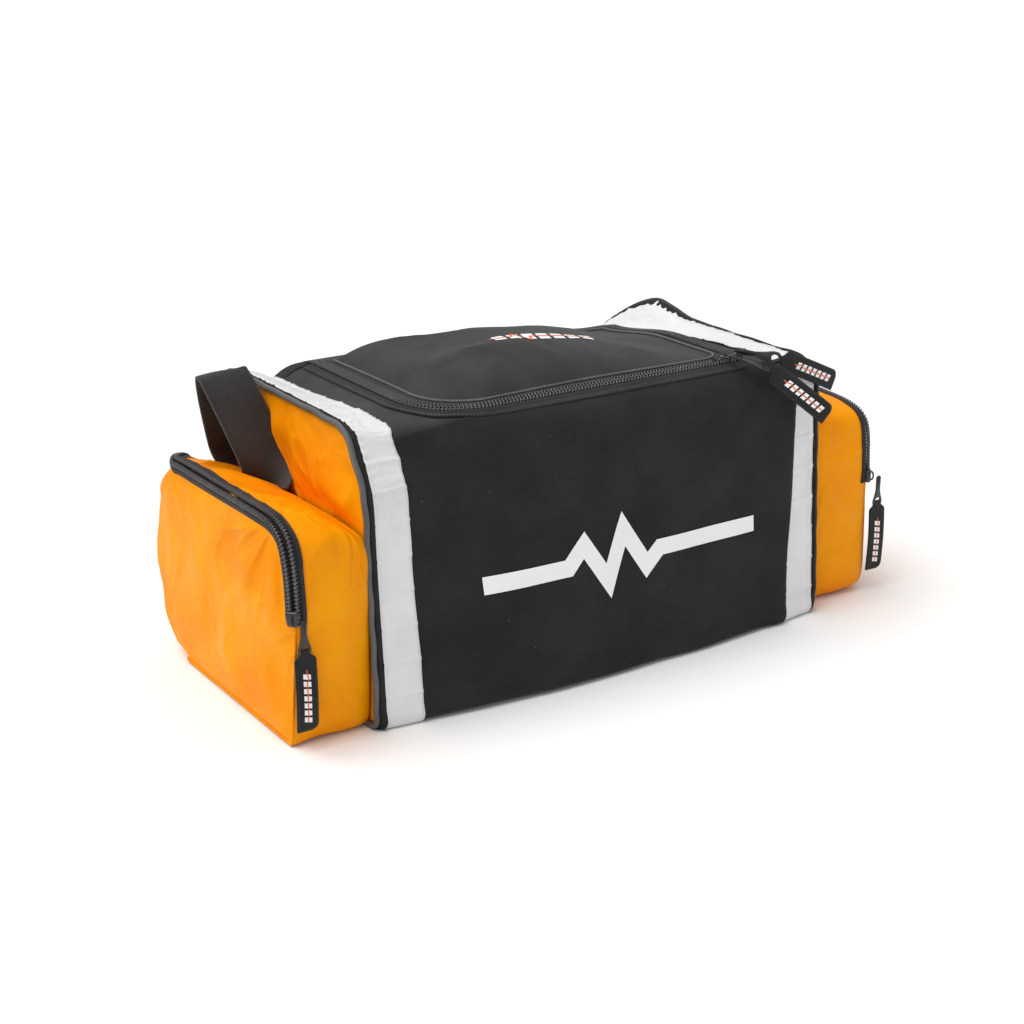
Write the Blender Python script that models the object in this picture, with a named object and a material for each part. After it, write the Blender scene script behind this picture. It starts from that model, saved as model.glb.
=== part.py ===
"""Soft holdall for an emergency responder, modelled as the separate pieces it is sewn from.

Frame: metres, +X to the bag's right-hand end, -Y to its front, +Z up, with the origin under
the middle of the base on the surface the bag stands on.
"""

import math

import bmesh
import bpy
from mathutils import Matrix, Vector

# Driving dimensions of the main compartment
GAP = 0.0003
WALL = 0.0022
HALF_LENGTH = 0.250
FRONT_Y = -0.150
FRONT_TOP_Y = -0.136
BACK_Y = 0.160
TOP_Z = 0.262
BOTTOM_RADIUS = 0.016
FRONT_RADIUS = 0.028
BACK_RADIUS = 0.055
WALL_END = 0.2470
FRONT_SEAM_ANGLE = 92.0

# Trim at each end of the main compartment
BAND_NEAR = 0.206
BAND_FAR = 0.241
BAND_THICKNESS = 0.0010
BINDING_THICKNESS = 0.0014
PIPING_RADIUS = 0.0024
END_PANEL_INSET = 0.0056

# Lid and its zip
ZIP_LEFT = -0.170
ZIP_RIGHT = 0.176
ZIP_FRONT = -0.108
ZIP_REAR = 0.100
ZIP_CORNER_LEFT = 0.060
ZIP_CORNER_RIGHT = 0.010
COIL_HALF_WIDTH = 0.0052
COIL_HEIGHT = 0.0049
TAPE_REACH = 0.0150
TAPE_THICKNESS = 0.0008
LID_PIVOT_Y = 0.1012
LID_CROWN = 0.031
LID_CROWN_FALL = 0.105
LID_SEAM = 0.86
LID_CLEARANCE = 0.0023
SLIDER_NOTCH_X = 0.1425
SLIDER_NOTCH_DEPTH = 0.0085

# Zip sliders and their pulls
SLIDER_LENGTH = 0.014
SLIDER_HALF_WIDTH = 0.0066
SLIDER_WALL = 0.0008
SLIDER_TOP = 0.0014
COIL_CLEARANCE = 0.0004
BAIL_LENGTH = 0.007
BAIL_HEIGHT = 0.0026
LID_PULLER_LENGTH = 0.044
POCKET_PULLER_LENGTH = 0.033
PULLER_THICKNESS = 0.0016
PULLER_NECK = 0.0030
PULLER_HEAD = 0.0058
EYELET_RADIUS = 0.0034
TAB_LENGTH = 0.066
TAB_WIDTH = 0.020
TAB_THICKNESS = 0.0020

# End pockets
POCKET_NEAR = 0.2530
POCKET_FAR = 0.3225
POCKET_HALF_WIDTH = 0.133
POCKET_FRONT_WIDTH = {"left": 0.145, "right": 0.133}
POCKET_TOP_NEAR = 0.174
POCKET_TOP_FAR = 0.199
POCKET_BOTTOM_RADIUS = 0.014
POCKET_TOP_RADIUS = 0.030
POCKET_FACE = 0.3228
POCKET_SPLIT = 0.118
POCKET_SLIDER_Z = 0.1255

# Grab handles
HANDLE_X = 0.2555
HANDLE_Z = 0.1790
HANDLE_FRONT_Y = 0.020
HANDLE_REAR_Y = 0.100
HANDLE_RISE = 0.102
HANDLE_LEAN = 0.0305
WEBBING_WIDTH = 0.048
WEBBING_THICKNESS = 0.0025

# Printed marks on the front panel and the lid
PRINT_THICKNESS = 0.0004

BLACK = (0.024, 0.024, 0.024)
ORANGE = (0.90, 0.33, 0.01)
WHITE = (0.90, 0.90, 0.90)
GRAPHITE = (0.055, 0.055, 0.058)
STEEL = (0.10, 0.10, 0.105)
BOARD = (0.20, 0.20, 0.21)


def clear_scene():
    for item in list(bpy.data.objects):
        bpy.data.objects.remove(item, do_unlink=True)


def make_material(name, colour, roughness, metallic=0.0):
    material = bpy.data.materials.new(name)
    material.use_nodes = True
    shader = material.node_tree.nodes["Principled BSDF"]
    shader.inputs["Base Color"].default_value = (*colour, 1.0)
    shader.inputs["Roughness"].default_value = roughness
    shader.inputs["Metallic"].default_value = metallic
    return material


def finish_object(name, shape, look, smooth=False):
    """Turn a bmesh into a named object with its own material, faces pointing out."""
    bmesh.ops.remove_doubles(shape, verts=shape.verts, dist=1e-7)
    bmesh.ops.recalc_face_normals(shape, faces=shape.faces)
    mesh = bpy.data.meshes.new(name)
    shape.to_mesh(mesh)
    shape.free()
    if smooth:
        mesh.shade_smooth()
        mesh.set_sharp_from_angle(angle=math.radians(40))
    item = bpy.data.objects.new(name, mesh)
    mesh.materials.append(make_material(name, *look))
    bpy.context.scene.collection.objects.link(item)
    return item


def sweep(name, rails, look, loop=False, smooth=False):
    """A closed solid whose cross-section has one corner on each rail."""
    shape = bmesh.new()
    rows = [[shape.verts.new(point) for point in rail] for rail in rails]
    count = len(rows[0])
    sides = len(rows)
    spans = count if loop else count - 1
    for side in range(sides):
        here = rows[side]
        there = rows[(side + 1) % sides]
        for step in range(spans):
            after = (step + 1) % count
            shape.faces.new((here[step], here[after], there[after], there[step]))
    if not loop:
        shape.faces.new([row[0] for row in rows])
        shape.faces.new([row[-1] for row in reversed(rows)])
    return finish_object(name, shape, look, smooth)


def box(name, low, high, look):
    shape = bmesh.new()
    bmesh.ops.create_cube(shape, size=1.0)
    size = [high[axis] - low[axis] for axis in range(3)]
    middle = [(high[axis] + low[axis]) / 2 for axis in range(3)]
    bmesh.ops.scale(shape, vec=size, verts=shape.verts)
    bmesh.ops.translate(shape, vec=middle, verts=shape.verts)
    return finish_object(name, shape, look)


def arc(across, up, radius, start, end, steps):
    """Points on a circle, from one angle to another in degrees, both ends included."""
    points = []
    for step in range(steps + 1):
        angle = math.radians(start + (end - start) * step / steps)
        points.append((across + radius * math.cos(angle), up + radius * math.sin(angle)))
    return points


def at_x(points, x):
    return [(x, y, z) for y, z in points]


def at_z(points, z):
    return [(x, y, z) for x, y in points]


def body_corner(which, inset, start, end, steps):
    """Part of one rounded corner of the main compartment's cross-section, in (y, z)."""
    corners = {
        "front_bottom": (FRONT_Y + BOTTOM_RADIUS, BOTTOM_RADIUS, BOTTOM_RADIUS),
        "back_bottom": (BACK_Y - BOTTOM_RADIUS, BOTTOM_RADIUS, BOTTOM_RADIUS),
        "back_top": (BACK_Y - BACK_RADIUS, TOP_Z - BACK_RADIUS, BACK_RADIUS),
        "front_top": (FRONT_TOP_Y + FRONT_RADIUS, TOP_Z - FRONT_RADIUS, FRONT_RADIUS),
    }
    across, up, radius = corners[which]
    return arc(across, up, radius - inset, start, end, steps)


def body_outline(inset):
    """The whole cross-section, front bottom corner first, anticlockwise seen from +X."""
    return (
        body_corner("front_bottom", inset, 180, 270, 4)
        + body_corner("back_bottom", inset, 270, 360, 4)
        + body_corner("back_top", inset, 0, 90, 8)
        + body_corner("front_top", inset, 90, 180, 6)
    )


def front_edge(inset):
    rise = body_corner("front_bottom", inset, 268, 180, 4)
    return rise + body_corner("front_top", inset, 180, FRONT_SEAM_ANGLE, 5)


def back_edge(inset):
    return body_corner("back_bottom", inset, 272, 360, 4) + body_corner("back_top", inset, -3, -1, 1)


def yoke_edge(inset):
    """The lower half of the rounded top of the back, sewn to the back panel below it."""
    return body_corner("back_top", inset, 0, 44, 4)


def crest_edge(inset):
    """The upper half of that curve, sewn to the yoke below it and to the top panel."""
    return body_corner("back_top", inset, 44.6, 89, 4)


def over_edge(inset):
    """From the front bottom seam over the top to the back bottom seam."""
    return (
        body_corner("front_bottom", inset, 200, 180, 2)
        + body_corner("front_top", inset, 180, 90, 6)
        + body_corner("back_top", inset, 90, 0, 8)
        + body_corner("back_bottom", inset, 0, -20, 2)
    )


def wall(name, edge, near, far, outside, inside, look):
    """A sewn panel that follows part of the cross-section between two places along X."""
    outer, inner = edge(outside), edge(inside)
    rails = [at_x(outer, near), at_x(outer, far), at_x(inner, far), at_x(inner, near)]
    return sweep(name, rails, look, smooth=True)


def make_shell():
    black = (BLACK, 0.85)
    wall("front_panel", front_edge, -WALL_END, WALL_END, 0.0, WALL, black)
    wall("back_panel", back_edge, -WALL_END, WALL_END, 0.0, WALL, black)
    wall("back_yoke", yoke_edge, -WALL_END, WALL_END, 0.0, WALL, black)
    wall("back_crest", crest_edge, -WALL_END, WALL_END, 0.0, WALL, black)
    flat_front = FRONT_Y + BOTTOM_RADIUS + GAP
    flat_back = BACK_Y - BOTTOM_RADIUS - GAP
    box("base_panel", (-WALL_END, flat_front, 0.0), (WALL_END, flat_back, WALL), black)
    board_low = (-WALL_END + 0.006, flat_front + 0.004, WALL + GAP)
    board_high = (WALL_END - 0.006, flat_back - 0.004, WALL + GAP + 0.003)
    box("base_stiffener", board_low, board_high, (BOARD, 0.6))
    make_top_panel(black)


def make_top_panel(look):
    """The flat panel behind the front edge, with the opening that the lid closes."""
    front = body_corner("front_top", 0.0, FRONT_SEAM_ANGLE, 90, 1)[0][0] + GAP
    back = BACK_Y - BACK_RADIUS - GAP
    panel = box("top_panel", (-WALL_END, front, TOP_Z - WALL), (WALL_END, back, TOP_Z), look)
    hole = lid_loop(LID_CLEARANCE)
    rails = [at_z(hole, TOP_Z - 0.02), at_z(hole, TOP_Z + 0.02)]
    cutter = prism("lid_opening", rails[0], rails[1])
    cut(panel, cutter)


def prism(name, low, high):
    """A closed block between two matching loops, used as a cutter."""
    shape = bmesh.new()
    bottom = [shape.verts.new(point) for point in low]
    top = [shape.verts.new(point) for point in high]
    count = len(bottom)
    for step in range(count):
        after = (step + 1) % count
        shape.faces.new((bottom[step], bottom[after], top[after], top[step]))
    shape.faces.new(bottom)
    shape.faces.new(top)
    return finish_object(name, shape, (BLACK, 1.0))


def cut(item, cutter):
    cutter.hide_render = True
    cutter.display_type = "WIRE"
    modifier = item.modifiers.new("opening", "BOOLEAN")
    modifier.operation = "DIFFERENCE"
    modifier.solver = "EXACT"
    modifier.object = cutter


def make_end(side, sign):
    """End panel, piping, binding and reflective band of one end."""
    near, far = sorted((sign * BAND_NEAR, sign * BAND_FAR))
    wall("reflective_band_" + side, over_edge, near, far, -GAP - BAND_THICKNESS, -GAP, (WHITE, 0.35))
    near, far = sorted((sign * (BAND_FAR + GAP), sign * WALL_END))
    wall("binding_" + side, over_edge, near, far, -GAP - BINDING_THICKNESS, -GAP, (BLACK, 0.7))
    centre = PIPING_RADIUS + GAP
    rails = []
    for step in range(8):
        angle = math.tau * step / 8
        ring = body_outline(centre - PIPING_RADIUS * math.cos(angle))
        rails.append(at_x(ring, sign * (HALF_LENGTH + PIPING_RADIUS * math.sin(angle))))
    sweep("piping_" + side, rails, (GRAPHITE, 0.4), loop=True, smooth=True)
    panel = body_outline(END_PANEL_INSET)
    inner = sign * (WALL_END + 2 * GAP)
    outer = sign * HALF_LENGTH
    item = prism("end_panel_" + side, at_x(panel, inner), at_x(panel, outer))
    item.data.materials.clear()
    item.data.materials.append(make_material("end_panel_" + side, ORANGE, 0.5))


def lid_loop(offset):
    """The zip's centre line moved outwards by offset, closed straight across at the rear."""
    rear = ZIP_REAR + offset
    return [(ZIP_LEFT - offset, rear)] + zip_run(offset) + [(ZIP_RIGHT + offset, rear)]


def zip_run(offset):
    """The zip's U-shaped centre line in (x, y), moved outwards by offset."""
    left = arc(
        ZIP_LEFT + ZIP_CORNER_LEFT,
        ZIP_FRONT + ZIP_CORNER_LEFT,
        ZIP_CORNER_LEFT + offset,
        180,
        270,
        8,
    )
    radius = ZIP_CORNER_RIGHT + offset
    right = arc(ZIP_RIGHT - ZIP_CORNER_RIGHT, ZIP_FRONT + ZIP_CORNER_RIGHT, radius, 270, 360, 4)
    return [(ZIP_LEFT - offset, ZIP_REAR)] + left + right + [(ZIP_RIGHT + offset, ZIP_REAR)]


def lid_run(inset):
    """The lid's own edge: the zip line moved inwards, with a notch behind the parked sliders."""
    left = arc(
        ZIP_LEFT + ZIP_CORNER_LEFT,
        ZIP_FRONT + ZIP_CORNER_LEFT,
        ZIP_CORNER_LEFT - inset,
        180,
        270,
        8,
    )
    front = ZIP_FRONT + inset
    notch = [
        (SLIDER_NOTCH_X - inset, front),
        (SLIDER_NOTCH_X - inset, front + SLIDER_NOTCH_DEPTH),
        (ZIP_RIGHT - inset, front + SLIDER_NOTCH_DEPTH),
    ]
    return [(ZIP_LEFT + inset, ZIP_REAR)] + left + notch + [(ZIP_RIGHT - inset, ZIP_REAR)]


def flat_strip(name, outer, inner, low, high, look):
    rails = [at_z(outer, low), at_z(inner, low), at_z(inner, high), at_z(outer, high)]
    return sweep(name, rails, look)


def front_coil(run):
    """The lid's half of the coil as far as the parked sliders."""
    return run[:-4] + [(SLIDER_NOTCH_X, run[-4][1])]


def make_lid_zip():
    tape_low = TOP_Z + GAP
    tape_high = tape_low + TAPE_THICKNESS
    coil_high = tape_low + COIL_HEIGHT
    tape_start = COIL_HALF_WIDTH + 2 * GAP
    tape, coil = (BLACK, 0.9), (GRAPHITE, 0.45)
    flat_strip("lid_zip_tape_outer", zip_run(TAPE_REACH), zip_run(tape_start), tape_low, tape_high, tape)
    flat_strip("lid_zip_coil_outer", zip_run(COIL_HALF_WIDTH), zip_run(2 * GAP), tape_low, coil_high, coil)
    inner_reach = TAPE_REACH - 0.002
    flat_strip("lid_zip_tape_inner", lid_run(tape_start), lid_run(inner_reach), tape_low, tape_high, tape)
    outer, inner = lid_run(2 * GAP), lid_run(COIL_HALF_WIDTH)
    flat_strip("lid_zip_coil_front", front_coil(outer), front_coil(inner), tape_low, coil_high, coil)
    flat_strip("lid_zip_coil_side", outer[-2:], inner[-2:], tape_low, coil_high, coil)


def lid_crown(x, share):
    """Height of the lid above its flat edge: highest towards the left, falling to the right."""
    return (LID_CROWN - LID_CROWN_FALL * x) * max(0.0, 1.0 - (share / LID_SEAM) ** 3)


def lid_surface(ring, centre, share, drop):
    points = []
    for x, y in ring:
        here = (centre[0] + (x - centre[0]) * share, centre[1] + (y - centre[1]) * share)
        points.append((*here, TOP_Z - drop + lid_crown(here[0], share)))
    return points


def lid_ring():
    """The lid's outline with enough points on its straight sides, closed at the rear."""
    corners = lid_run(2 * GAP)
    corners.append(corners[0])
    ring = []
    for start, end in zip(corners, corners[1:]):
        long = math.dist(start, end)
        pieces = max(1, round(long / 0.035))
        for step in range(pieces):
            part = step / pieces
            ring.append(tuple(a + (b - a) * part for a, b in zip(start, end)))
    return ring


def make_lid():
    ring = lid_ring()
    centre = ((ZIP_LEFT + ZIP_RIGHT) / 2, (ZIP_FRONT + ZIP_REAR) / 2)
    shares = (1.0, LID_SEAM, 0.74, 0.58, 0.40, 0.20)
    shape = bmesh.new()
    layers = []
    for drop in (0.0, WALL):
        rows = [[shape.verts.new(p) for p in lid_surface(ring, centre, s, drop)] for s in shares]
        tip = shape.verts.new((*centre, TOP_Z - drop + lid_crown(centre[0], 0.0)))
        layers.append((rows, tip))
        count = len(ring)
        for here, there in zip(rows, rows[1:]):
            for step in range(count):
                after = (step + 1) % count
                shape.faces.new((here[step], here[after], there[after], there[step]))
        for step in range(count):
            shape.faces.new((rows[-1][step], rows[-1][(step + 1) % count], tip))
    top, bottom = layers[0][0][0], layers[1][0][0]
    for step in range(len(ring)):
        after = (step + 1) % len(ring)
        shape.faces.new((top[step], top[after], bottom[after], bottom[step]))
    finish_object("lid_panel", shape, (BLACK, 0.85), smooth=True)
    make_lid_piping(ring, centre)
    make_lid_print(centre)


def make_lid_piping(ring, centre):
    """The cord sewn into the seam between the lid's flat border and its raised panel."""
    middle = lid_surface(ring, centre, LID_SEAM - 0.004, -GAP - 0.0015)
    rails = []
    for step in range(6):
        angle = math.tau * step / 6
        rail = []
        for x, y, z in middle:
            out = Vector((x - centre[0], y - centre[1], 0.0)).normalized() * 0.0014 * math.cos(angle)
            rail.append((x + out.x, y + out.y, z + 0.0014 * math.sin(angle) + 0.0006))
        rails.append(rail)
    sweep("lid_piping", rails, (GRAPHITE, 0.5), loop=True, smooth=True)


def make_lid_print(centre):
    """A thin printed bar on the raised panel."""
    columns = 10
    half_width = (ZIP_RIGHT - ZIP_LEFT) / 2

    def height(x, y):
        reach = max(abs(x - centre[0]) / half_width, abs(y - centre[1]) / (centre[1] - ZIP_FRONT))
        return TOP_Z + lid_crown(x, reach)

    rails = []
    for y, lift in ((-0.034, 0.0012), (-0.012, 0.0012), (-0.012, 0.0018), (-0.034, 0.0018)):
        xs = [-0.052 + 0.112 * step / columns for step in range(columns + 1)]
        rails.append([(x, y, height(x, y) + lift) for x in xs])
    sweep("lid_print", rails, (WHITE, 0.6))


def make_front_print():
    """A thin printed trace on the front panel: a level line with one tall beat and one low beat."""
    trace = ((-0.140, 0.112), (-0.052, 0.112), (-0.034, 0.128), (-0.010, 0.094))
    trace += ((0.010, 0.134), (0.034, 0.100), (0.050, 0.112), (0.165, 0.112))
    half = 0.0055
    outer, inner = [], []
    for side, rail in ((1, outer), (-1, inner)):
        for x, z in trace:
            rail.append((x, z + side * half))
    lean = (FRONT_TOP_Y - FRONT_Y) / (TOP_Z - FRONT_RADIUS - BOTTOM_RADIUS)

    def face(z, lift):
        return FRONT_Y + lean * (z - BOTTOM_RADIUS) - lift

    near, far = GAP, GAP + PRINT_THICKNESS
    rails = [
        [(x, face(z, near), z) for x, z in outer],
        [(x, face(z, near), z) for x, z in inner],
        [(x, face(z, far), z) for x, z in inner],
        [(x, face(z, far), z) for x, z in outer],
    ]
    sweep("front_print", rails, (WHITE, 0.5))


def pocket_corner(side, which, inset, top, start, end, steps):
    """One rounded corner of a pocket, seen along X; the left pocket reaches further forwards."""
    if "bottom" in which:
        radius, up = POCKET_BOTTOM_RADIUS, POCKET_BOTTOM_RADIUS
    else:
        radius, up = POCKET_TOP_RADIUS, top - POCKET_TOP_RADIUS
    if "front" in which:
        across = -(POCKET_FRONT_WIDTH[side] - radius)
    else:
        across = POCKET_HALF_WIDTH - radius
    return arc(across, up, radius - inset, start, end, steps)


def pocket_outline(side, inset, top):
    return (
        pocket_corner(side, "front_bottom", inset, top, 180, 270, 3)
        + pocket_corner(side, "back_bottom", inset, top, 270, 360, 3)
        + pocket_corner(side, "back_top", inset, top, 0, 90, 6)
        + pocket_corner(side, "front_top", inset, top, 90, 180, 6)
    )


def pocket_arch(side, inset, top=POCKET_TOP_FAR):
    """The zip's way round the top of a pocket's outer face, front foot to back foot."""
    foot = POCKET_SPLIT + GAP
    return (
        [(-POCKET_FRONT_WIDTH[side] + inset, foot)]
        + pocket_corner(side, "front_top", inset, top, 180, 90, 6)
        + pocket_corner(side, "back_top", inset, top, 90, 0, 6)
        + [(POCKET_HALF_WIDTH - inset, foot)]
    )


def flap_arch(side, inset):
    """The flap's own edge, with a notch beside the parked slider at its front foot."""
    rest = pocket_arch(side, inset)[1:]
    foot, top = POCKET_SPLIT + GAP, POCKET_SLIDER_Z + SLIDER_LENGTH / 2 + 0.002
    edge = -POCKET_FRONT_WIDTH[side] + inset
    notch = edge + SLIDER_NOTCH_DEPTH
    return [(notch, foot), (notch, top + inset), (edge, top + inset)] + rest


def arch_strip(name, outer, inner, near, far, look):
    rails = [at_x(outer, near), at_x(inner, near), at_x(inner, far), at_x(outer, far)]
    return sweep(name, rails, look)


def make_pocket(side, sign):
    orange, tape, coil = (ORANGE, 0.5), (BLACK, 0.9), (GRAPHITE, 0.45)
    near, far = POCKET_NEAR * sign, POCKET_FAR * sign
    rails = [
        at_x(pocket_outline(side, 0.0, POCKET_TOP_NEAR), near),
        at_x(pocket_outline(side, 0.0, POCKET_TOP_FAR), far),
        at_x(pocket_outline(side, WALL, POCKET_TOP_FAR), far),
        at_x(pocket_outline(side, WALL, POCKET_TOP_NEAR), near),
    ]
    sweep("pocket_gusset_" + side, rails, orange, loop=True, smooth=True)
    face, front = POCKET_FACE * sign, (POCKET_FACE + WALL) * sign
    lower = pocket_corner(side, "front_bottom", 0.0, POCKET_TOP_FAR, 180, 270, 3)
    lower += pocket_corner(side, "back_bottom", 0.0, POCKET_TOP_FAR, 270, 360, 3)
    lower += [(POCKET_HALF_WIDTH, POCKET_SPLIT - GAP)]
    lower += [(-POCKET_FRONT_WIDTH[side], POCKET_SPLIT - GAP)]
    item = prism("pocket_face_" + side, at_x(lower, face), at_x(lower, front))
    item.data.materials.clear()
    item.data.materials.append(make_material("pocket_face_" + side, ORANGE, 0.5))
    crest = (POCKET_FACE + COIL_HEIGHT) * sign
    run = pocket_arch(side, 0.0)
    arch_strip("pocket_zip_coil_" + side, run, pocket_arch(side, 0.0046), face, crest, coil)
    make_pocket_tape(side, sign, tape)
    coil_start = 0.0046 + 2 * GAP
    coil_end = coil_start + 0.0046
    outer, inner = flap_arch(side, coil_start)[2:], flap_arch(side, coil_end)[2:]
    arch_strip("flap_zip_coil_" + side, outer, inner, face, crest, coil)
    tape_end = coil_end + 0.0080
    low, high = face, (POCKET_FACE + TAPE_THICKNESS) * sign
    outer, inner = flap_arch(side, coil_end + GAP), flap_arch(side, tape_end)
    arch_strip("flap_zip_tape_" + side, outer, inner, low, high, tape)
    panel = flap_arch(side, tape_end + GAP)
    item = prism("pocket_flap_" + side, at_x(panel, face), at_x(panel, front))
    item.data.materials.clear()
    item.data.materials.append(make_material("pocket_flap_" + side, ORANGE, 0.5))


def make_pocket_tape(side, sign, look):
    """The zip's outer tape, sewn over the gusset's outer edge."""
    near, far = (POCKET_FAR - 0.010) * sign, POCKET_FAR * sign
    slope = (POCKET_TOP_FAR - POCKET_TOP_NEAR) / (POCKET_FAR - POCKET_NEAR)
    top_near = POCKET_TOP_FAR - slope * 0.010
    rails = [
        at_x(pocket_arch(side, -GAP, top_near), near),
        at_x(pocket_arch(side, -GAP - TAPE_THICKNESS, top_near), near),
        at_x(pocket_arch(side, -GAP - TAPE_THICKNESS), far),
        at_x(pocket_arch(side, -GAP), far),
    ]
    sweep("pocket_zip_tape_" + side, rails, look, smooth=True)


def make_slider(name, place, along, up):
    """A zip slider: a roof over the coil, a skirt down each side and a bail for the pull."""
    roof_low = COIL_HEIGHT + COIL_CLEARANCE
    roof_high = roof_low + SLIDER_TOP
    half, wide = SLIDER_LENGTH / 2, SLIDER_HALF_WIDTH
    inside = wide - SLIDER_WALL
    skirt = TAPE_THICKNESS + GAP
    section = [
        (-wide, skirt),
        (-wide, roof_high),
        (-0.0011, roof_high),
        (-0.0011, roof_high + BAIL_HEIGHT),
        (0.0011, roof_high + BAIL_HEIGHT),
        (0.0011, roof_high),
        (wide, roof_high),
        (wide, skirt),
        (inside, skirt),
        (inside, roof_low),
        (-inside, roof_low),
        (-inside, skirt),
    ]
    rails = []
    for across, height in section:
        rails.append([(-half, across, height), (half, across, height)])
    item = sweep(name, rails, (STEEL, 0.35, 0.6))
    item.matrix_world = frame_at(place, along, up)
    return item


def frame_at(place, along, up):
    """A right-handed frame at place with X along one direction and Z near another."""
    x = Vector(along).normalized()
    y = Vector(up).cross(x).normalized()
    z = x.cross(y)
    turn = Matrix((x, y, z)).transposed().to_4x4()
    return Matrix.Translation(place) @ turn


def make_puller(name, length, pivot, along, up):
    """A flat tapered puller with an eyelet at its far end; its own X runs from the bail outwards."""
    near, far = 0.0006, length
    neck_end = far * 0.25
    head = arc(far - PULLER_HEAD, 0.0, PULLER_HEAD, -90, 90, 10)
    edge = [(near, -PULLER_NECK), (neck_end, -PULLER_NECK)] + head
    edge += [(neck_end, PULLER_NECK), (near, PULLER_NECK)]
    half = PULLER_THICKNESS / 2
    item = prism(name, at_z(edge, -half), at_z(edge, half))
    item.data.materials.clear()
    item.data.materials.append(make_material(name, STEEL, 0.35, 0.6))
    item.matrix_world = frame_at(pivot, along, up)
    hole = arc(far - PULLER_HEAD, 0.0, EYELET_RADIUS, 0, 330, 11)
    cutter = prism(name + "_eyelet", at_z(hole, -0.004), at_z(hole, 0.004))
    cutter.matrix_world = item.matrix_world
    cut(item, cutter)
    return item


def make_tab(name, start, along, up):
    """The folded fabric tab that the puller's eyelet carries, with one corner cut round."""
    half = TAB_WIDTH / 2
    radius = 0.006
    edge = [(0.0, -half), (TAB_LENGTH, -half)]
    edge += arc(TAB_LENGTH - radius, half - radius, radius, 0, 90, 3)
    edge += [(0.0, half)]
    depth = TAB_THICKNESS / 2
    item = prism(name, at_z(edge, -depth), at_z(edge, depth))
    item.data.materials.clear()
    item.data.materials.append(make_material(name, BLACK, 0.8))
    item.matrix_world = frame_at(start, along, up)
    return item


def make_lid_sliders():
    base = TOP_Z + GAP
    hinge_height = base + COIL_HEIGHT + COIL_CLEARANCE + SLIDER_TOP + 0.0042
    plans = (
        ("lower", 0.1525, 0.0085, ((0.66, -0.61, -0.30), (0.25, -0.20, 0.92)),
         ((0.66, -0.42, -0.62), (-0.34, -0.8, 0.18))),
        ("upper", 0.1685, 0.0020, ((0.70, -0.69, -0.14), (-0.70, -0.71, 0.0)),
         ((0.905, -0.05, -0.42), (0.0, -1.0, 0.05))),
    )
    for name, x, ahead, (pull_way, pull_face), (tab_way, tab_face) in plans:
        make_slider("lid_slider_" + name, (x, ZIP_FRONT, base), (1, 0, 0), (0, 0, 1))
        pivot = Vector((x, ZIP_FRONT - ahead, hinge_height))
        make_puller("lid_puller_" + name, LID_PULLER_LENGTH, pivot, pull_way, pull_face)
        end = pivot + Vector(pull_way).normalized() * (LID_PULLER_LENGTH + 0.0012)
        start = end + Vector(tab_way).normalized() * 0.0040
        make_tab("lid_tab_" + name, start, tab_way, tab_face)


def make_pocket_slider(side, sign, hang_x):
    edge = -POCKET_FRONT_WIDTH[side]
    centre = edge + 0.0049
    place = (POCKET_FACE * sign, centre, POCKET_SLIDER_Z)
    make_slider("pocket_slider_" + side, place, (0, 0, 1), (sign, 0, 0))
    pivot = Vector((hang_x, edge - 0.0052, POCKET_SLIDER_Z - 0.002))
    make_puller("pocket_puller_" + side, POCKET_PULLER_LENGTH, pivot, (0, 0, -1), (0, -1, 0))
    return pivot - Vector((0.0, 0.0, POCKET_PULLER_LENGTH + 0.0012))


def make_left_handle():
    """A loop of webbing that stands up from the pocket's rear seam and twists to a fold on top."""
    steps = 20
    rails = [[], [], [], []]
    points, widths = [], []
    for step in range(steps + 1):
        angle = math.pi * step / steps
        rise = math.sin(angle) ** 0.75
        y = HANDLE_FRONT_Y + (HANDLE_REAR_Y - HANDLE_FRONT_Y) * (1 - math.cos(angle)) / 2
        points.append(Vector((-HANDLE_X - HANDLE_LEAN * rise, y, HANDLE_Z + HANDLE_RISE * rise)))
        widths.append(Vector((-math.sin(angle), math.cos(angle), 0.0)))
    for step, point in enumerate(points):
        along = (points[min(step + 1, steps)] - points[max(step - 1, 0)]).normalized()
        wide = (widths[step] - along * widths[step].dot(along)).normalized() * WEBBING_WIDTH / 2
        thick = along.cross(wide).normalized() * WEBBING_THICKNESS / 2
        for rail, corner in zip(rails, (wide + thick, wide - thick, -wide - thick, -wide + thick)):
            rail.append(point + corner)
    sweep("grab_handle_left", rails, (BLACK, 0.75))


def make_right_handle():
    """The same loop folded down flat on the right pocket."""
    middle = (HANDLE_FRONT_Y + HANDLE_REAR_Y) / 2
    spread = (HANDLE_REAR_Y - HANDLE_FRONT_Y) / 2
    half = WEBBING_WIDTH / 2
    reach = 0.066
    way = Vector((math.cos(math.radians(22.0)), 0.0, math.sin(math.radians(22.0))))
    normal = Vector((-way.z, 0.0, way.x))
    root = Vector((HANDLE_X, middle, HANDLE_Z + 0.001))

    def corners(wide, out, corner):
        flat = ((-wide, 0.0), (-wide, out - corner), (-wide + corner, out))
        flat += ((wide - corner, out), (wide, out - corner), (wide, 0.0))
        return [root + way * b + Vector((0.0, a, 0.0)) for a, b in flat]

    outer = corners(spread + half, reach, 0.010)
    inner = corners(spread - half, reach - 0.030, 0.002)
    lift = normal * WEBBING_THICKNESS
    rails = [outer, inner, [p + lift for p in inner], [p + lift for p in outer]]
    sweep("grab_handle_right", rails, (BLACK, 0.75))


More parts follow.
